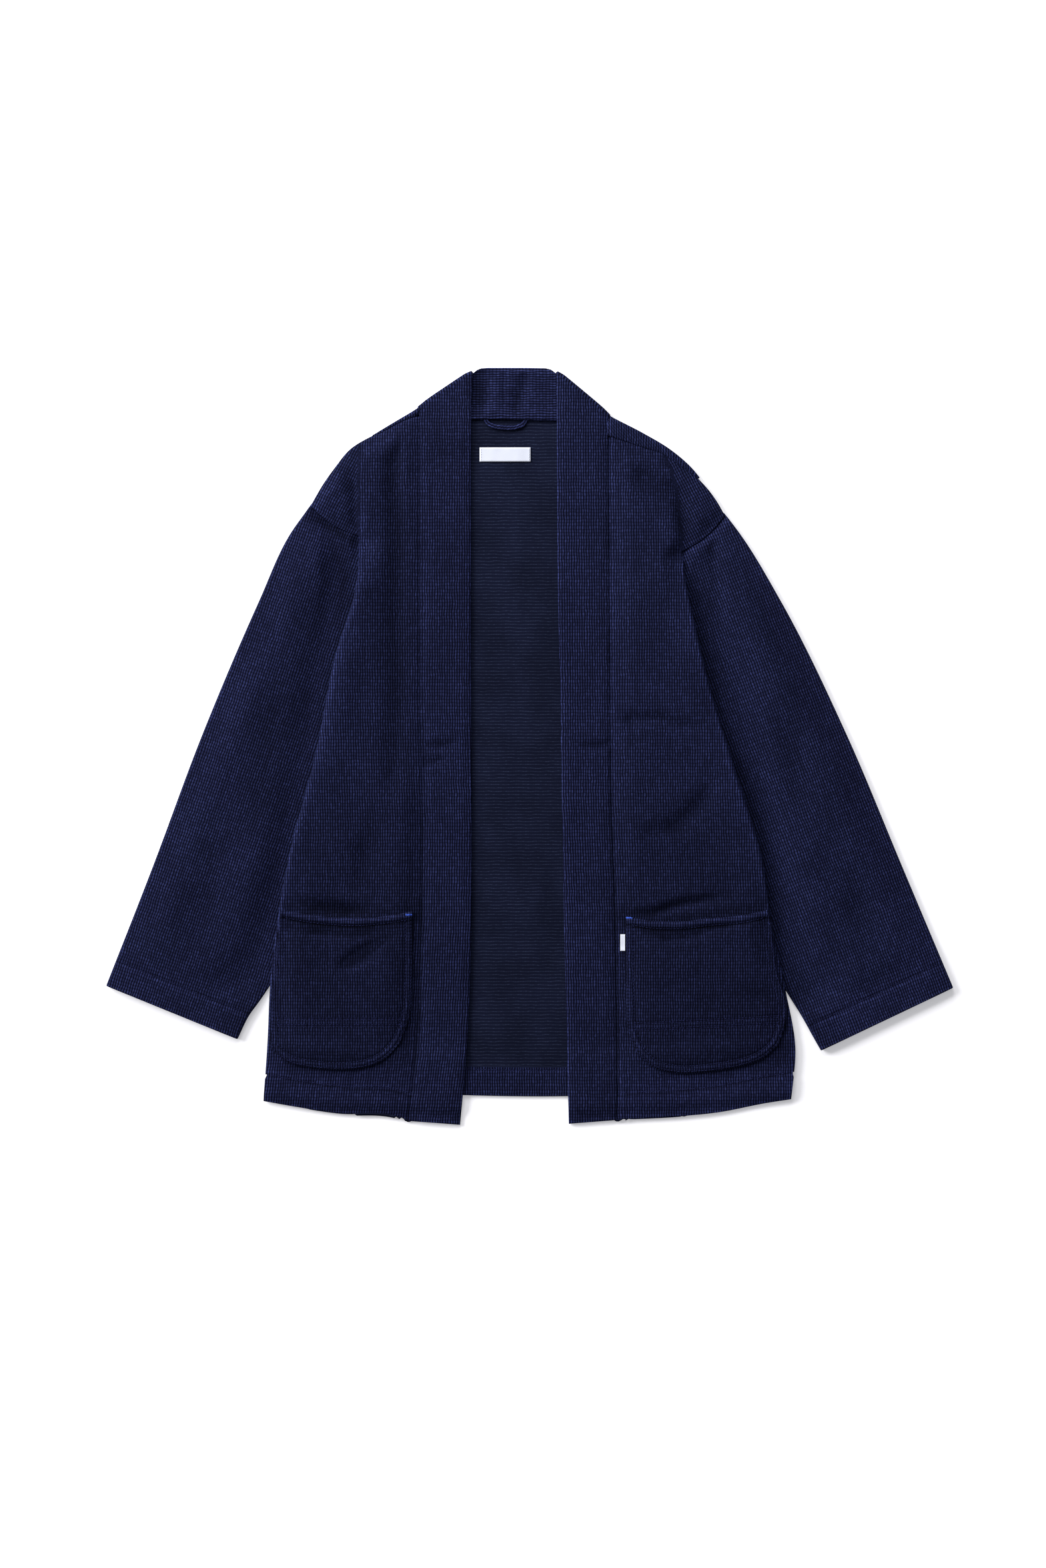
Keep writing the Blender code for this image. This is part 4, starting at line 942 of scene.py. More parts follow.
def make_sleeve(side, face, reverse):
    """A sleeve as a flattened tube of rings: folded inner and outer edges, a full top and a hemmed cuff.

    Each ring runs round the inner edge on an arc, over the top, round the outer edge and back on the floor.
    """
    seed = SEEDS["sleeve"][side]
    armhole, cuff_side = smooth(ARMHOLE[side], even(120)), smooth(CUFF_INNER[side], even(40))
    inner_line = np.vstack((armhole[::-1], cuff_side[::-1]))
    rows = spaced(SLEEVE_LONG, EDGE_STEPS, HEM_STEPS, PANEL_STEP)
    from_top = rows * SLEEVE_LONG
    into = INTO[side]
    inner = along(inner_line, rows) - np.array((into * GAP, 0.0))
    outer = along(smooth(SLEEVE_OUTER[side], even(200))[::-1], rows)
    across_head = (inner[0] - outer[0]) / np.linalg.norm(inner[0] - outer[0])
    up_head = np.array((-across_head[1], across_head[0])) * into
    near_head = 1 - step(from_top, 0, 14)
    for line in (inner, outer):
        line += near_head[:, None] * up_head * HEAD_TUCK
    inner[:, 0] += into * SIDE_TUCK * (1 - step(from_top, *TUCK_ENDS[side]))
    length = np.linalg.norm(inner[0] - inner[-1])
    from_head = rows[:, None] * length
    from_cuff = (1 - rows[:, None]) * length
    width = np.linalg.norm(outer - inner, axis=1)[:, None]
    direction = (outer - inner) / width

    def high(away):
        return sleeve_high(away, width - away, from_head, from_cuff) - CLOTH

    wall = CLOTH / 2
    on_back = BACK_EDGE * (1 - step(from_head, HEAD_TUCK + 1, HEAD_TUCK + 8))
    beside_back = BACK_EDGE * (1 - step(from_head, *TUCK_ENDS[side]))
    edge_lift = np.maximum(on_back, beside_back)
    edge_radius = np.maximum(high(np.zeros_like(width)) - edge_lift, 0.1) / 2
    far_radius = high(width) / 2
    arc = np.radians(np.linspace(-75, 75, 9))[None, :]
    flat = (width - edge_radius - far_radius - 2 * wall)
    top_shares = spaced(SLEEVE_WIDE, *[(0.0, 2.0, 5.0, 9.0)] * 2, 4.4)[None, :]
    top_away = wall + edge_radius + top_shares * flat
    floor_away = wall + edge_radius + even(24)[None, ::-1] * flat
    top_up = high(top_away)
    near_arc = wall + edge_radius * (1 - np.cos(arc))
    far_arc = width - wall - far_radius * (1 - np.cos(arc))
    away = np.hstack((near_arc, top_away, far_arc, floor_away))
    near_up = edge_lift + edge_radius * (1 + np.sin(arc))
    far_up = on_back + (high(width) - on_back) / 2 * (1 - np.sin(arc))
    floor_up = np.maximum(on_back, beside_back * (1 - step(floor_away, SIDE_TUCK + 1, SIDE_TUCK + 8)))
    up = np.hstack((near_up, np.maximum(top_up, floor_up[:, :1] + 0.1), far_up, floor_up))
    plan = inner[:, None] + direction[:, None] * away[..., None]
    top = slice(arc.size, arc.size + top_shares.size)
    here = plan[:, top]
    from_edge, from_outer = top_away, width - top_away
    room = step(from_edge, 24, 52) * step(from_outer, 2, 30)
    room = room * step(from_cuff, 30, 56) * step(from_head, 2, 14)
    top_plan = (here[..., 0], here[..., 1])
    soft = 0.6 * uneven(*top_plan, 55.0, seed) + 0.25 * uneven(*top_plan, 18.0, seed + 1)
    folds = creases(*top_plan, SLEEVE_CREASES[side])
    place = from_edge + 0.0 * from_cuff
    inside = step(from_edge, 3, 14) * step(from_outer, 3, 14)
    at_cuff = -GROOVE_DEPTH * bell(from_cuff - CUFF_HEM, GROOVE_WIDTH)
    at_cuff = at_cuff + 0.4 * puckers(place, seed + 2) * bell(from_cuff - CUFF_HEM, 9.0)
    at_head = 0.4 * puckers(place, seed + 4) * bell(from_head - HEAD_TUCK - 5, 7.0)
    lifted = np.zeros_like(up)
    lifted[:, top] = (soft + folds) * room + (at_cuff + at_head) * inside
    grid = with_height(plan, up + lifted + wall)
    axis = (inner[-1] + outer[-1] - inner[0] - outer[0])
    axis = axis / np.linalg.norm(axis)
    beside = np.array((-axis[1], axis[0]))
    middle = (inner[0] + outer[0]) / 2
    weave = np.stack(((plan - middle) @ beside, (plan - middle) @ axis), axis=-1)
    turned_down = np.zeros_like(up)
    turned_down[:, :arc.size] = np.pi / 2 * edge_radius * (1 - np.sin(arc))
    turned_down[:, top.stop:top.stop + arc.size] = np.pi / 2 * far_radius * (1 + np.sin(arc))
    sign = np.sign((direction @ beside))[:, None]
    out_sign = np.where(away < width / 2, -1.0, 1.0) * sign
    weave[..., 0] += out_sign * turned_down
    edge = np.minimum(from_head, from_cuff) + 0.0 * away
    outside = wall * rounded(edge)
    inside_wall = wall * rounded(edge) + np.where(from_cuff < CUFF_HEM, CLOTH, 0.0) * rounded(edge)
    wear_and_shade = 0.7 * bell(from_cuff, 2.0) + 0.45 * bell(width - away, 4.0)
    # Painted shade in the cuff's stitched groove and a painted highlight on the ridge beside it
    wear_and_shade = wear_and_shade - 0.8 * bell(from_cuff - CUFF_HEM, 1.6) + 0.6 * bell(from_cuff - CUFF_HEM + 3.4, 1.8)
    # Below the armhole seam a painted shade on the right and a painted highlight on the left
    wear_and_shade = wear_and_shade + HEAD_PAINTED_LIGHT[side] * bell(from_head - HEAD_TUCK - 7, 3.5)
    # Painted light, lighter towards the cuff
    wear_and_shade = wear_and_shade + HEM_PAINTED_LIGHT[side] * (1 - step(from_cuff, 10, 190))
    # Painted shadow of the front's fold beside the sleeve's inner edge
    wear_and_shade[:, top] -= FOLD_PAINTED_SHADOW[side] * bell(from_edge - 8, 17.0) * step(from_head, 20, 60)
    # Painted shade in the troughs of the creases
    wear_and_shade[:, top] += TROUGH_PAINTED_SHADE * np.minimum(folds, 0.0)
    parts = (grid, weave, outside, inside_wall, wear_and_shade)
    return one_grid("sleeve_tube_" + side, parts, (face, reverse), mirrored=side == "left", closed=True)


def between(rows, count):
    """Points blended in even steps between the rows of a table of seam and edge places."""
    place = np.linspace(0, len(rows["seam_up"]) - 1, count)
    known = np.arange(len(rows["seam_up"]))
    seam = np.column_stack([np.interp(place, known, rows[name]) for name in ("seam_across", "seam_up")])
    edge = np.column_stack([np.interp(place, known, rows[name]) for name in ("edge_across", "edge_up")])
    return seam, edge


def make_band(side, face):
    """Half of the collar band: up the front edge, over the shoulder and along the neck to the centre back.

    Rows run straight across from seam to edge; at the ridge they go round a half circle, and the neck
    stretch below it lies the other way up.
    """
    seed = SEEDS["band"][side]
    rows = spaced(BAND_LONG, EDGE_STEPS, (0.0,), 2.8)
    columns = spaced(BAND_WIDE, EDGE_STEPS, EDGE_STEPS, 2.2)[None, :, None]

    def across_lines(seam, edge):
        return (1 - columns) * seam[:, None] + columns * edge[:, None]

    rising = across_lines(smooth(BAND_SEAM[side], rows), smooth(BAND_EDGE[side], rows))
    ends = np.append(points(BAND_SEAM[side])[-1], points(BAND_EDGE[side])[-1])
    turn = {name: np.append(end, values) for end, (name, values) in zip(ends, BAND_TURN[side].items())}
    turned = across_lines(*between(turn, 19))[1:]
    plan = np.concatenate((rising, turned))
    on_back = back_top(plan[..., 0], plan[..., 1])
    base = on_back + (COLLAR_TOP - on_back) * step(plan[..., 1], 300, 334)
    upper = with_height(plan, base + GAP + BAND_THICK / 2)
    ridge = upper[-1]
    run = ridge[-1, :2] - ridge[0, :2]
    normal = np.array((-run[1], run[0])) / np.linalg.norm(run)
    normal = normal * np.sign(normal[1])
    angle = np.radians(np.linspace(20, 180, 9))[:, None]
    rolled_plan = ridge[None, :, :2] + normal[None, None] * (BAND_ROLL_RADIUS * np.sin(angle))[..., None]
    rolled_up = ridge[None, :, 2] - BAND_ROLL_RADIUS * (1 - np.cos(angle))
    rolled = np.concatenate((rolled_plan, rolled_up[..., None]), axis=-1)
    lower = with_height(across_lines(*between(COLLAR_LAY[side], 49)), BAND_THICK / 2)
    lower = np.concatenate((lower[:-1], 0.12 * lower[-2:-1] + 0.88 * lower[-1:], lower[-1:]))
    over_neck = 1 - step(columns[..., 0] * (BAND_WIDE - 1), 3, 12)
    lower[..., 1] -= 1.6 * over_neck
    lower[..., 2] += (CLOTH + 0.1) * over_neck
    grid = np.concatenate((upper, rolled, lower))
    from_end = grid_reach(grid, 0)
    from_seam = grid_reach(grid, 1)
    from_edge = from_seam[:, -1:] - from_seam
    length = from_end[:, grid.shape[1] // 2][:, None] + 0.0 * from_seam
    edge = np.minimum(length, np.minimum(from_seam, from_edge))
    round_edge = EDGE_THIN + (1 - EDGE_THIN) * np.sqrt(1 - (1 - np.clip(edge / 2.2, 0, 1)) ** 2)
    half = BAND_THICK / 2 * round_edge
    pillow = BAND_PUFF * step(from_seam, 0, 12) * step(from_edge, 0, 9)
    beside_seam = 0.7 * puckers(length, seed) * bell(from_seam - 3, 6.0) * step(from_seam, 0.5, 3)
    soft = 0.3 * uneven(length, from_seam, 24.0, seed + 2) * step(from_seam, 1, 8) * step(from_edge, 1, 8)
    band_folds = creases(grid[..., 0], grid[..., 1], BAND_CREASES[side])
    above = half + pillow + beside_seam + soft + band_folds
    above = np.where(edge < 0.3, half, np.maximum(above, 0.3))
    below = half.copy()
    neck = slice(len(upper) + len(rolled), None)
    lay = grid[neck]
    centre_seam = length[-1:] - length[neck]
    inside = step(from_seam[neck], 0.5, 8) * step(from_edge[neck], 0.5, 6)
    folds = creases(lay[..., 0], lay[..., 1], COLLAR_CREASES)
    soft_neck = 0.9 + 0.3 * uneven(lay[..., 0], lay[..., 1], 14.0, seed + 3) + folds
    below[neck] = np.maximum(below[neck] + soft_neck * inside * step(centre_seam, -2, 2), 0.3)
    above[neck] = half[neck]
    from_seam_line = grid[..., 0] - np.interp(grid[..., 1], BAND_SEAM[side]["up"], BAND_SEAM[side]["across"])
    weave = np.stack((from_seam_line, grid[..., 1]), axis=-1)
    weave[neck] = lay[..., 1::-1]
    # Painted shade in the troughs of the band's creases and, stronger, of the neck stretch's; the neck
    # stretch is also lighter all over
    shade = TROUGH_PAINTED_SHADE * np.minimum(band_folds, 0.0)
    shade[neck] = 1.5 * TROUGH_PAINTED_SHADE * np.minimum(folds, 0.0) + 0.35
    # Lighter where the edge and the end are worn, with painted shade in the seam
    wear_and_shade = 0.6 * bell(from_edge, 2.0) + seam_painted_shade(grid[..., 1], from_seam) + 0.7 * bell(length, 2.0) + shade
    parts = (grid, weave, above, below, wear_and_shade)
    return one_grid("collar_band_" + side, parts, (face,), mirrored=side == "left")


def pocket_lines(side, count):
    """A pocket's outline as close points for each of its four lines."""
    return {name: smooth(rows, even(count)) for name, rows in POCKET[side].items()}


def pocket_rim(side):
    """The sewn edge of a pocket, down one side, along the foot and up the other."""
    lines = pocket_lines(side, 60)
    first, last = ("outer", "inner") if side == "right" else ("inner", "outer")
    return np.vstack((lines[first][::-1], lines["foot"][1:], lines[last][1:]))


def make_pocket(side, face, reverse):
    """A patch pocket laid on the front's own form, with stitched edges, a hemmed mouth and two low rows.

    A patch between its four lines, at the height of front_middle and a relief that gapes at the mouth.
    """
    seed = SEEDS["pocket"][side]
    lines = pocket_lines(side, 96)
    sides = ("outer", "inner") if side == "right" else ("inner", "outer")
    plan = patch(lines["foot"], lines["mouth"], lines[sides[0]], lines[sides[1]])
    across, up = plan[..., 0], plan[..., 1]
    rim = line_distance(plan, pocket_rim(side)[::3])
    mouth = line_distance(plan, lines["mouth"][::4])
    row_line = points(POCKET_ROWS[side])
    below_row = np.interp(across, row_line[:, 0], row_line[:, 1]) - up
    inside = step(rim, 7, 30) * step(mouth, 5, 16)
    gape = step(rim, 6, 40) * bell(mouth, 14.0) * (1.0 if side == "left" else 0.4)
    folds = creases(across, up, POCKET_CREASES[side])
    relief = POCKET_PUFF * inside + folds * step(rim, 5, 14)
    relief = relief + 0.3 * uneven(across, up, 16.0, seed) * step(rim, 3, 12)
    relief = relief + 0.35 * puckers(across + up, seed + 1) * bell(rim - 5, 4.0)
    relief = relief + 0.9 * puckers(across, seed + 2) * bell(mouth - 11, 4.0) * step(rim, 8, 14)
    relief = np.maximum(relief, -0.45) + gape
    # Along the front's fold the pocket's sewn rim is pressed flat and doesn't show
    from_outer = line_distance(plan, lines["outer"][::4])
    rim_shows = 1 - (1 - step(from_outer, 9, 14)) * step(up, -306, -276)
    grooves = (bell(rim - RIM_ROWS[0], 1.0) + bell(rim - RIM_ROWS[1], GROOVE_WIDTH)) * rim_shows
    grooves = grooves + bell(mouth - MOUTH_ROW, GROOVE_WIDTH) * step(rim, 2, 5)
    grooves = grooves + (bell(below_row - 0.8, 1.6) + bell(below_row - 7.8, 1.6)) * step(rim, 3, 8)
    rolled_rim = 0.45 * bell(rim - 5.0, 2.4) * rim_shows + 1.4 * bell(mouth - 4.0, 3.3)
    height = front_middle(across, up, side) + CLOTH + POCKET_LIFT + np.maximum(relief, 0.0)
    edge = np.minimum(rim, mouth)
    above = (CLOTH / 2 + 0.1 + rolled_rim - 0.8 * np.minimum(grooves, 1.0)) * rounded(edge)
    above = np.maximum(above + np.minimum(relief, 0.0) * step(edge, 0, 3), 0.18)
    # Painted highlights on the ridge between the rim's rows and on the mouth's hem
    wear_and_shade = 0.6 * bell(rim - 4.6, 1.8) * rim_shows + 0.9 * bell(mouth - 3.9, 3.1)
    # Painted shade in the stitched grooves and below the mouth's row
    wear_and_shade = wear_and_shade - 0.7 * np.minimum(grooves, 1.0) - 0.7 * bell(mouth - MOUTH_ROW - 1, 1.8)
    # Painted highlight between the low rows, and the pocket darker all over by HEM_DARKER
    wear_and_shade = wear_and_shade + 0.4 * bell(below_row - 4.3, 1.6) * step(rim, 6, 10) - HEM_DARKER
    # Painted shade in the troughs of the creases
    wear_and_shade = wear_and_shade + TROUGH_PAINTED_SHADE * np.minimum(folds, 0.0)
    # The pocket was cut apart from the front, so its weave is shifted against the front's
    weave = plan + np.array((0.7, 1.1))
    parts = (with_height(plan, height), weave, above, CLOTH / 2 * rounded(edge), wear_and_shade)
    return one_grid("patch_pocket_" + side, parts, (face, reverse))


def rectangle(size, columns, rows):
    """Plan points of an upright rectangle."""
    across = np.linspace(size["left"], size["right"], columns)
    up = np.linspace(size["low"], size["high"], rows)
    return np.stack(np.meshgrid(across, up), axis=-1)


def make_loop(face):
    """The hanging loop: a narrow folded strip, round across, along a smooth hanging line."""
    middle = smooth(LOOP_LINE, even(49))
    beside = outward(middle)
    across = np.linspace(-1, 1, 9)
    plan = middle[None] + beside[None] * (across * LOOP["width"] / 2)[:, None, None]
    under = CLOTH + GAP + back_relief(plan[..., 0], plan[..., 1])
    ends = np.minimum(grid_reach(plan, 1), grid_reach(plan, 1)[:, -1:] - grid_reach(plan, 1))
    lift = 0.8 * step(ends, 3, 14)
    half = LOOP["thick"] / 2 * (0.35 + 0.65 * np.sqrt(1 - np.minimum(across**2, 1.0)))[:, None]
    weave = np.stack((across[:, None] * LOOP["width"] / 2 + 0.0 * ends, grid_reach(plan, 1)), axis=-1)
    grid = with_height(plan, under + LOOP["thick"] / 2 + lift)
    return one_grid("neck_loop", (grid, weave, half, half, 0.3), (face,))


def make_label(tape):
    """The bare neck label: woven tape with folded ends, held at its ends, a little wavy between them."""
    plan = rectangle(LABEL, 55, 17)
    across, up = plan[..., 0], plan[..., 1]
    ends = np.minimum(across - LABEL["left"], LABEL["right"] - across)
    sides = np.minimum(up - LABEL["low"], LABEL["high"] - up)
    lift = 0.35 * step(ends, 2, 16) * (1 + 0.6 * uneven(across, up, 9.0, 91))
    base = CLOTH + GAP + back_relief(across, up)
    half = LABEL["thick"] / 2 * np.minimum(rounded(ends * 2), rounded(sides * 2))
    grid = with_height(plan, base + LABEL["thick"] / 2 + lift)
    return one_grid("bare_neck_label", (grid, plan, half, half), (tape,))


def make_tab(tape):
    """The bare tab: a short folded tape in the pocket's side seam."""
    plan = rectangle(TAB, 13, 25)
    across, up = plan[..., 0], plan[..., 1]
    ends = np.minimum(up - TAB["low"], TAB["high"] - up)
    from_fold = across - TAB["left"]
    base = front_middle(across, up, "left") + CLOTH / 2 + POCKET_LIFT
    half = TAB["thick"] / 2 * np.minimum(rounded(ends * 2), rounded(from_fold * 1.5))
    grid = with_height(plan, base + TAB["thick"] / 2 + 0.2 * bell(from_fold, 2.5))
    return one_grid("bare_side_tab", (grid, plan, half, half), (tape,))


def stitch_form():
    """One stitch as a thin rounded bead: rings of six points along its length, closed at both ends."""
    along_bead = np.array((-0.5, -0.38, 0.0, 0.38, 0.5))
    size = np.array((0.35, 0.85, 1.0, 0.85, 0.35))
    turn = np.arange(6) * np.pi / 3
    ring = np.stack((np.cos(turn), np.sin(turn)), axis=-1)
    spots = np.concatenate([np.column_stack((np.full(6, a), ring * s)) for a, s in zip(along_bead, size)])
    quads = [(r * 6 + i, (r + 1) * 6 + i, (r + 1) * 6 + (i + 1) % 6, r * 6 + (i + 1) % 6)
             for r in range(4) for i in range(6)]
    ends = [tuple(range(6)), tuple(range(29, 23, -1))]
    return spots, quads + ends


def sew(name, lines, cloth, thread, pitch=STITCH_PITCH, length=STITCH_LENGTH, radius=STITCH_RADIUS):
    """Rows of stitches on a piece of cloth: beads along each plan line, dropped onto the piece's surface."""
    tree = BVHTree.FromObject(cloth, bpy.context.evaluated_depsgraph_get())
    starts, ends = [], []
    for line in lines:
        total = reach_of(line)[-1]
        count = max(1, int(total / pitch))
        first = (np.arange(count) + 0.5) * total / count - length / 2
        starts.append(along(line, first / total))
        ends.append(along(line, (first + length) / total))
    starts, ends = np.vstack(starts), np.vstack(ends)

    def dropped(plan):
        hits = [tree.ray_cast(Vector((x * MM, y * MM, 0.1)), Vector((0, 0, -1)))[0] for x, y in plan]
        return np.array([hit[2] / MM if hit else np.nan for hit in hits])

    low = np.column_stack((starts, dropped(starts)))
    high = np.column_stack((ends, dropped(ends)))
    on_cloth = ~(np.isnan(low[:, 2]) | np.isnan(high[:, 2]))
    on_cloth &= np.abs(low[:, 2] - high[:, 2]) < length
    low, high = low[on_cloth], high[on_cloth]
    form, faces = stitch_form()
    run = high - low
    side = np.cross((0.0, 0.0, 1.0), run)
    side = side / np.linalg.norm(side, axis=1)[:, None]
    upward = np.cross(run, side)
    upward = upward / np.linalg.norm(upward, axis=1)[:, None]
    middle = (low + high) / 2 + upward * radius * 0.35
    spots = middle[:, None] + run[:, None] * form[None, :, :1]
    spots = spots + side[:, None] * form[None, :, 1:2] * radius
    spots = spots + upward[:, None] * form[None, :, 2:] * radius
    all_faces = [tuple(np.array(face) + k * len(form)) for k in range(len(low)) for face in faces]
    mesh = smooth_mesh(name, spots.reshape(-1, 3), all_faces, [thread])
    mesh.update()
    return link(name, mesh)


def inset(line, distance, side=1):
    """A line moved sideways in plan by a distance, to the left of its direction of travel."""
    return line + outward(line) * distance * side


# Materials


def to_linear(code):
    """A colour written as an sRGB hex value, as linear red, green, blue and full opacity."""
    parts = [int(code[place:place + 2], 16) / 255 for place in (1, 3, 5)]
    return (*(c / 12.92 if c <= 0.04045 else ((c + 0.055) / 1.055) ** 2.4 for c in parts), 1.0)


def node(tree, kind, inputs=(), result=0, **settings):
    """Adds a node with its settings and inputs and gives its chosen output.

    An input is another node's output, which is linked, or a value or hex colour, which is set.
    """
    made = tree.nodes.new(kind)
    for name, value in settings.items():
        setattr(made, name, value)
    pairs = inputs.items() if isinstance(inputs, dict) else enumerate(inputs)
    for socket, source in pairs:
        if isinstance(source, bpy.types.NodeSocket):
            tree.links.new(source, made.inputs[socket])
        else:
            made.inputs[socket].default_value = to_linear(source) if isinstance(source, str) else source
    return made.outputs[result]


# Kinds of node, and a Map Range node's smooth rise
MATH = "ShaderNodeMath"
VECTOR = "ShaderNodeVectorMath"
NOISE = "ShaderNodeTexNoise"
RANGE = "ShaderNodeMapRange"
MIX = "ShaderNodeMix"
SMOOTH = {"interpolation_type": "SMOOTHSTEP"}


def new_cloth(name, roughness, sheen, sheen_colour, specular):
    """A material with its cloth shader: matt, with a little sheen and an IOR near cotton's."""
    material = bpy.data.materials.new(name)
    material.use_nodes = True
    tree = material.node_tree
    shader = tree.nodes["Principled BSDF"]
    shader.inputs["Roughness"].default_value = roughness
    shader.inputs["IOR"].default_value = 1.5
    shader.inputs["Specular IOR Level"].default_value = specular
    shader.inputs["Sheen Weight"].default_value = sheen
    shader.inputs["Sheen Roughness"].default_value = 0.5
    shader.inputs["Sheen Tint"].default_value = to_linear(sheen_colour)
    return material, tree, shader


# Indigo cotton: roughness, sheen, the colour of the sheen and specular level
COTTON = (0.9, 0.03, "#3a4470", 0.03)


def weave_cells(tree):
    """The weave's cells: place in a cell from -0.5 to 0.5 both ways, a random value a cell, and the place.

    The place in the weave drifts a little, as woven rows do, in waves about 11 mm long, and is counted in
    stitches. The whole part of the count is the cell, and the rest is the place in it.
    """
    place = node(tree, "ShaderNodeUVMap", uv_map="weave")
    drift = node(tree, NOISE, {"Vector": place, "Scale": 0.09, "Detail": 1.0}, 1, noise_dimensions="2D")
    moved = node(tree, VECTOR, (drift, (0.5, 0.5, 0.5)), operation="SUBTRACT")
    scaled = node(tree, VECTOR, {0: moved, "Scale": 1.6}, operation="SCALE")
    bent = node(tree, VECTOR, (place, scaled), operation="ADD")
    counted = node(tree, VECTOR, (bent, (1 / STITCH_ACROSS, 1 / STITCH_ALONG, 0.0)), operation="MULTIPLY")
    cell = node(tree, VECTOR, (counted,), operation="FLOOR")
    part = node(tree, VECTOR, (counted,), operation="FRACTION")
    centred = node(tree, VECTOR, (part, (0.5, 0.5, 0.0)), operation="SUBTRACT")
    x = node(tree, "ShaderNodeSeparateXYZ", (centred,), "X")
    chance = node(tree, "ShaderNodeTexWhiteNoise", {"Vector": cell}, "Value", noise_dimensions="2D")
    return x, x.node.outputs["Y"], chance, place


def sashiko_face(name, ground, stitch, bright):
    """Sashiko-woven indigo cotton, face side: rows of raised rice stitches, pale on a dark ground.

    Rope-dyed yarn keeps a pale core, so each stitch is a different blue, and the cloth fades in clouds
    about 60 mm across, with streaks about 2.4 mm wide and 80 mm long. The fuzz of the yarn is about 0.6 mm.
    """
    material, tree, shader = new_cloth(name, *COTTON)
    x, y, chance, place = weave_cells(tree)
    wide = node(tree, MATH, (node(tree, MATH, (x,), operation="ABSOLUTE"), 2.9), operation="MULTIPLY")
    tall = node(tree, MATH, (node(tree, MATH, (y,), operation="ABSOLUTE"), 1.8), operation="MULTIPLY")
    squares = [node(tree, MATH, (part, 2.0), operation="POWER") for part in (wide, tall)]
    rice = node(tree, RANGE, (node(tree, MATH, squares, operation="ADD"), 1.15, 0.35), **SMOOTH)
    cloud = node(tree, NOISE, {"Vector": place, "Scale": 0.016, "Detail": 3.0}, noise_dimensions="2D")
    drawn = node(tree, VECTOR, (place, (0.42, 0.012, 0.0)), operation="MULTIPLY")
    streak = node(tree, NOISE, {"Vector": drawn, "Scale": 1.0, "Detail": 2.0}, noise_dimensions="2D")
    few_pale = node(tree, MATH, (chance, 2.0), operation="POWER")
    chosen = node(tree, MATH, (few_pale, 0.42), operation="MULTIPLY")
    streaked = node(tree, RANGE, (streak, 0.3, 0.7, 0.26, 0.38), **SMOOTH)
    lively = node(tree, MATH, (chosen, streaked), operation="ADD")
    share = node(tree, MATH, (lively, 1.0), operation="MINIMUM")
    stitch_colour = node(tree, MIX, {0: share, 6: stitch, 7: bright}, 2, data_type="RGBA")
    covered = node(tree, MATH, (rice, 0.9), operation="MULTIPLY")
    cloth_colour = node(tree, MIX, {0: covered, 6: ground, 7: stitch_colour}, 2, data_type="RGBA")
    clouded = node(tree, RANGE, (cloud, 0.3, 0.7, 0.88, 1.02), **SMOOTH)
    # The point attribute read here lightens the colour where edges are worn and with painted highlights, and
    # darkens it with painted shade
    wear_and_shade_tone = node(tree, "ShaderNodeAttribute", (), "Fac", attribute_name="wear_and_shade")
    wear_and_shade_tone = node(tree, MATH, (node(tree, MATH, (wear_and_shade_tone, 0.5), operation="MULTIPLY"), 1.0), operation="ADD")
    lift = node(tree, MATH, (clouded, wear_and_shade_tone), operation="MULTIPLY")
    grey = node(tree, "ShaderNodeCombineColor", (lift, lift, lift))
    colour = node(tree, MIX, {0: 1.0, 6: cloth_colour, 7: grey}, 2, data_type="RGBA", blend_type="MULTIPLY")
    fibre = node(tree, NOISE, {"Vector": place, "Scale": 1.7, "Detail": 2.0}, noise_dimensions="2D")
    fuzz = node(tree, MATH, (fibre, 0.35), operation="MULTIPLY")
    relief = node(tree, MATH, (rice, fuzz), operation="ADD")
    bump = node(tree, "ShaderNodeBump", {"Height": relief, "Strength": 0.6, "Distance": 0.0003})
    tree.links.new(colour, shader.inputs["Base Color"])
    tree.links.new(bump, shader.inputs["Normal"])
    return material


def sashiko_reverse(name):
    """The cloth's other side: fine pale lines of weft over dark navy, with a faint chequer."""
    material, tree, shader = new_cloth(name, *COTTON)
    x, y, chance, place = weave_cells(tree)
    line = node(tree, RANGE, (node(tree, MATH, (y,), operation="ABSOLUTE"), 0.22, 0.06), **SMOOTH)
    strength = node(tree, RANGE, (chance, 0.0, 1.0, 0.45, 1.0), **SMOOTH)
    broken = node(tree, MATH, (line, strength), operation="MULTIPLY")
    spot = node(tree, RANGE, (node(tree, MATH, (x,), operation="ABSOLUTE"), 0.42, 0.18, 0.0, 0.35), **SMOOTH)
    chequer = node(tree, MATH, (spot, 0.65), operation="ADD")
    shown = node(tree, MATH, (broken, chequer), operation="MULTIPLY")
    cloud = node(tree, NOISE, {"Vector": place, "Scale": 0.02, "Detail": 3.0}, noise_dimensions="2D")
    clouded = node(tree, RANGE, (cloud, 0.3, 0.7, 0.86, 1.14), **SMOOTH)
    grey = node(tree, "ShaderNodeCombineColor", (clouded, clouded, clouded))
    lined = node(tree, MIX, {0: shown, 6: "#101324", 7: "#242a3f"}, 2, data_type="RGBA")
    colour = node(tree, MIX, {0: 1.0, 6: lined, 7: grey}, 2, data_type="RGBA", blend_type="MULTIPLY")
    bump = node(tree, "ShaderNodeBump", {"Height": shown, "Strength": 0.5, "Distance": 0.0003})
    tree.links.new(colour, shader.inputs["Base Color"])
    tree.links.new(bump, shader.inputs["Normal"])
    return material


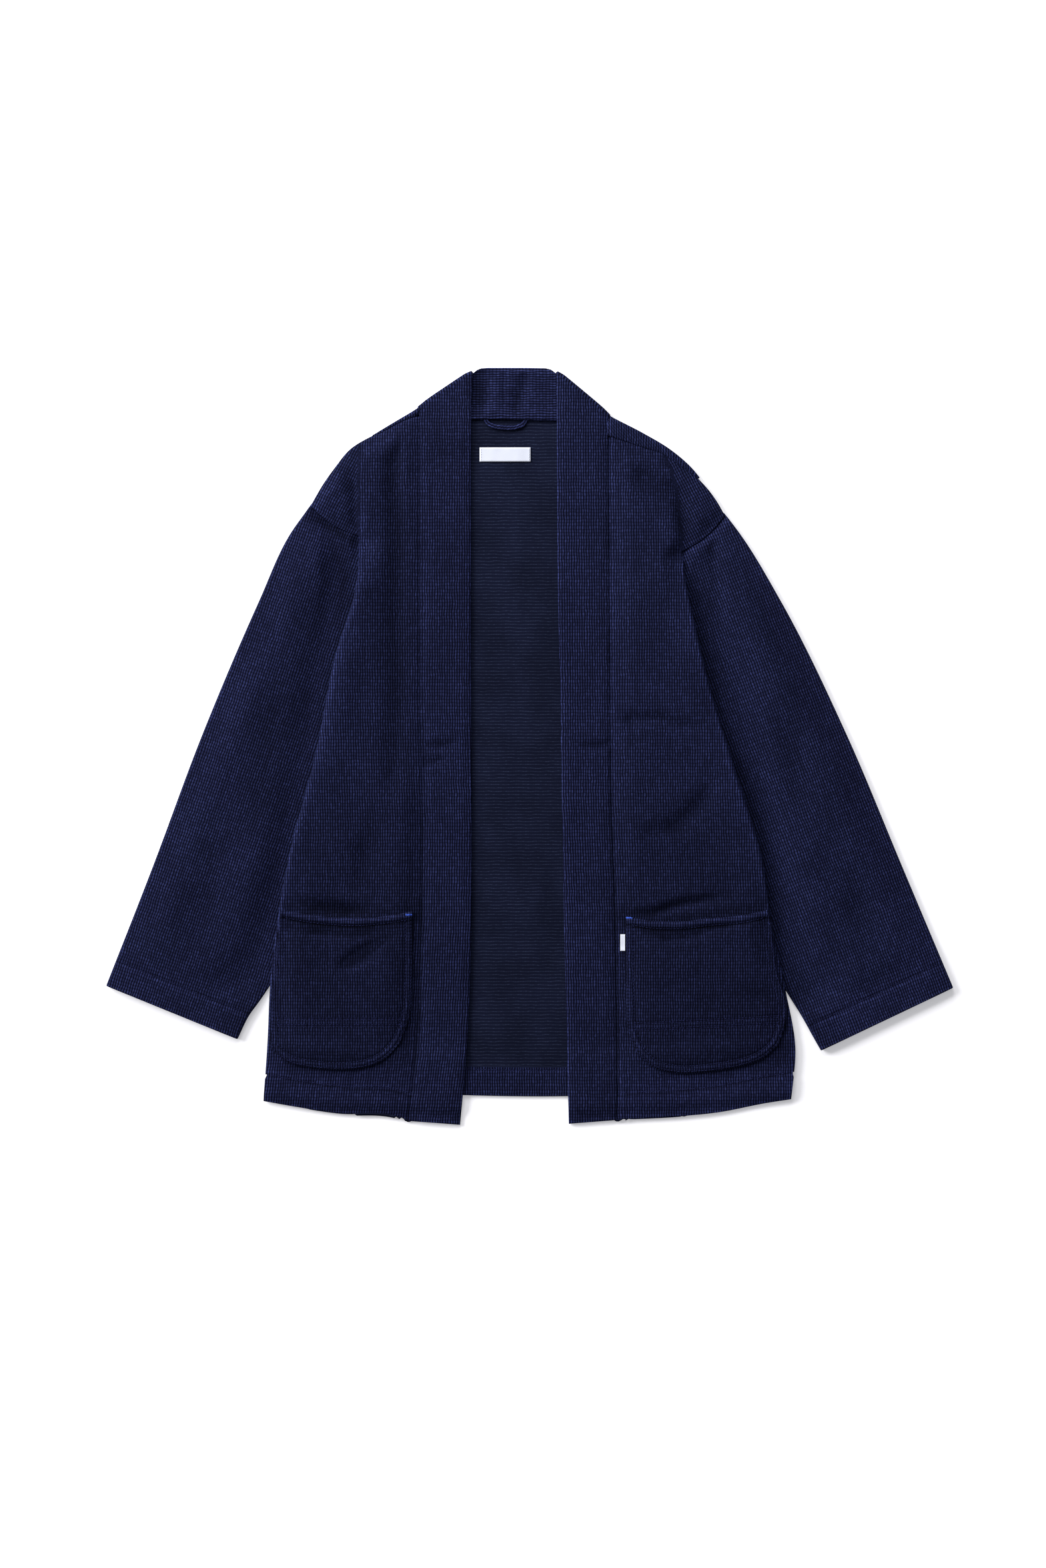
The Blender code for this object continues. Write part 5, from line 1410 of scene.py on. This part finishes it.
def white_tape(name):
    """Woven satin tape: fine ribs each 0.7 mm, almost white, slightly glossier than the cotton."""
    material, tree, shader = new_cloth(name, 0.6, 0.05, "#ffffff", 0.4)
    place = node(tree, "ShaderNodeUVMap", uv_map="weave")
    up = node(tree, "ShaderNodeSeparateXYZ", (place,), "Y")
    rib = node(tree, MATH, (node(tree, MATH, (up, 9.0), operation="MULTIPLY"),), operation="SINE")
    shade = node(tree, RANGE, (rib, -1.0, 1.0), **SMOOTH)
    colour = node(tree, MIX, {0: shade, 6: "#c6cad9", 7: "#d9dce8"}, 2, data_type="RGBA")
    bump = node(tree, "ShaderNodeBump", {"Height": shade, "Strength": 0.25, "Distance": 0.0001})
    tree.links.new(colour, shader.inputs["Base Color"])
    tree.links.new(bump, shader.inputs["Normal"])
    return material


def cotton_thread(name, dark, light):
    """Spun sewing thread: two shades along its twist, which turns about once a millimetre."""
    material, tree, shader = new_cloth(name, 0.85, 0.03, light, 0.06)
    place = node(tree, "ShaderNodeTexCoord", (), "Object")
    twist = node(tree, NOISE, {"Vector": place, "Scale": 900.0, "Detail": 1.0})
    shade = node(tree, RANGE, (twist, 0.35, 0.65), **SMOOTH)
    colour = node(tree, MIX, {0: shade, 6: dark, 7: light}, 2, data_type="RGBA")
    bump = node(tree, "ShaderNodeBump", {"Height": shade, "Strength": 0.3, "Distance": 0.0001})
    tree.links.new(colour, shader.inputs["Base Color"])
    tree.links.new(bump, shader.inputs["Normal"])
    return material


def place_piece(piece, replaced=None):
    """The piece rides on the coat's one body and may stand for a solid, which it then hides."""
    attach(piece, "root")
    if replaced:
        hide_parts(replaced)
    return piece


def build_coat():
    """All the coat's pieces and its stitching, and what each sheet of cloth was cut from."""
    face = sashiko_face("indigo_sashiko_face", "#090a1a", "#12152a", "#333a67")
    band_face = sashiko_face("indigo_sashiko_band", "#090a1a", "#12152a", "#333a67")
    reverse = sashiko_reverse("indigo_sashiko_reverse")
    tape = white_tape("white_woven_tape")
    navy = cotton_thread("navy_cotton_thread", "#14162f", "#262a52")
    blue = cotton_thread("blue_bar_tack_thread", "#2c46a8", "#4f70d8")
    white = cotton_thread("white_cotton_thread", "#b9bdcc", "#d6d9e4")

    back = place_piece(make_back(face, reverse), "back")
    hem_row = inset(smooth(BACK_HEM_LINE, even(200)), BACK_HEM_ROW)
    hem_stitches = place_piece(sew("stitching_back_hem", [hem_row], back, navy))
    loop = place_piece(make_loop(face), "hanging_loop")
    label = place_piece(make_label(tape), "neck_label")
    ends = [np.array(((across, LABEL["low"] + 1), (across, LABEL["high"] - 1)))
            for across in (LABEL["left"] + LABEL_ROW, LABEL["right"] - LABEL_ROW)]
    label_stitches = sew("stitching_neck_label", ends, label, white, *LABEL_STITCH)
    place_piece(label_stitches)
    tab = place_piece(make_tab(tape), "pocket_tab")

    for side, into in INTO.items():
        sleeve = place_piece(make_sleeve(side, face, reverse), "sleeve_" + side)
        cuff_line = np.linspace(points(CUFF_INNER[side])[0], points(SLEEVE_OUTER[side])[0], 60)
        cuff_row = inset(cuff_line, CUFF_HEM, -into)[2:-2]
        cuff_stitches = place_piece(sew("stitching_cuff_" + side, [cuff_row], sleeve, navy))

        front = place_piece(make_front(side, face, reverse), "front_" + side)
        rows = [inset(smooth(FRONT_HEM_LINE[side], even(120)), FRONT_HEM)[2:-2]]
        if side == "right":
            rows += [np.array(((across, 216), (across, 182))) for across in ARMHOLE_ROWS]
        front_stitches = place_piece(sew("stitching_front_" + side, rows, front, navy))

        band = place_piece(make_band(side, band_face), "band_" + side)

        pocket = place_piece(make_pocket(side, face, reverse), "pocket_" + side)
        rim = pocket_rim(side)
        mouth = pocket_lines(side, 60)["mouth"]
        low_row = np.linspace(*points(POCKET_ROWS[side]), 60)[2:-2]
        rows = [inset(rim, RIM_ROWS[0])[1:-1], inset(rim, RIM_ROWS[1])[2:-2]]
        rows += [inset(mouth, MOUTH_ROW, -1)[3:-3]]
        rows += [low_row - np.array((0.0, drop)) for drop in LOW_ROWS]
        pocket_stitches = place_piece(sew("stitching_pocket_" + side, rows, pocket, navy))
        tack_row = np.array(((-3.5, 0.0), (3.5, 0.0))) + BAR_TACK[side]
        tack_rows = [tack_row + (0.0, lift) for lift in (-0.5, 0.0, 0.5)]
        tack = place_piece(sew("bar_tack_" + side, tack_rows, pocket, blue, *TACK_STITCH))


def build_stage():
    """A plain white floor, soft light all round, a large soft light from the upper left, and the camera."""
    floor_mesh = bpy.data.meshes.new("floor")
    reach = 4.0
    below = -0.0004
    corners = [(x * reach, y * reach, below) for x, y in ((-1, -1), (1, -1), (1, 1), (-1, 1))]
    floor_mesh.from_pydata(corners, [], [(0, 1, 2, 3)])
    paper = bpy.data.materials.new("matt_white_paper")
    paper.use_nodes = True
    shader = paper.node_tree.nodes["Principled BSDF"]
    shader.inputs["Base Color"].default_value = to_linear("#f6f5f8")
    shader.inputs["Roughness"].default_value = 0.9
    shader.inputs["Emission Color"].default_value = to_linear("#fcfcff")
    shader.inputs["Emission Strength"].default_value = 0.3
    floor_mesh.materials.append(paper)
    floor = link("floor", floor_mesh)

    world = bpy.data.worlds.new("studio")
    world.use_nodes = True
    sky = world.node_tree.nodes["Background"]
    sky.inputs["Color"].default_value = to_linear("#f9faff")
    sky.inputs["Strength"].default_value = 0.27
    bpy.context.scene.world = world

    # name, place, size, power: the key is far off so that both sleeves are equally bright
    lamps = (("key_light", (-7.2, 3.6, 3.4), 4.6, 1200.0), ("collar_light", (-0.3, 1.9, 1.3), 1.2, 36.0))
    for name, place, size, power in lamps:
        lamp_data = bpy.data.lights.new(name, "AREA")
        lamp_data.energy = power
        lamp_data.shape = "SQUARE"
        lamp_data.size = size
        lamp = bpy.data.objects.new(name, lamp_data)
        lamp.location = place
        lamp.rotation_euler = (-Vector(place)).to_track_quat("-Z", "Y").to_euler()
        bpy.context.scene.collection.objects.link(lamp)

    # The photograph's long side is 1.646 m on the floor, seen from straight above
    camera_data = bpy.data.cameras.new("camera")
    camera_data.lens = 80.0
    camera_data.sensor_width = 36.0
    long_side = 1.6457
    camera = bpy.data.objects.new("camera", camera_data)
    camera.location = (-0.007, -0.0395, long_side * camera_data.lens / camera_data.sensor_width)
    bpy.context.scene.collection.objects.link(camera)
    bpy.context.scene.camera = camera
    bpy.context.scene.view_settings.view_transform = "Standard"


build_coat()
build_stage()
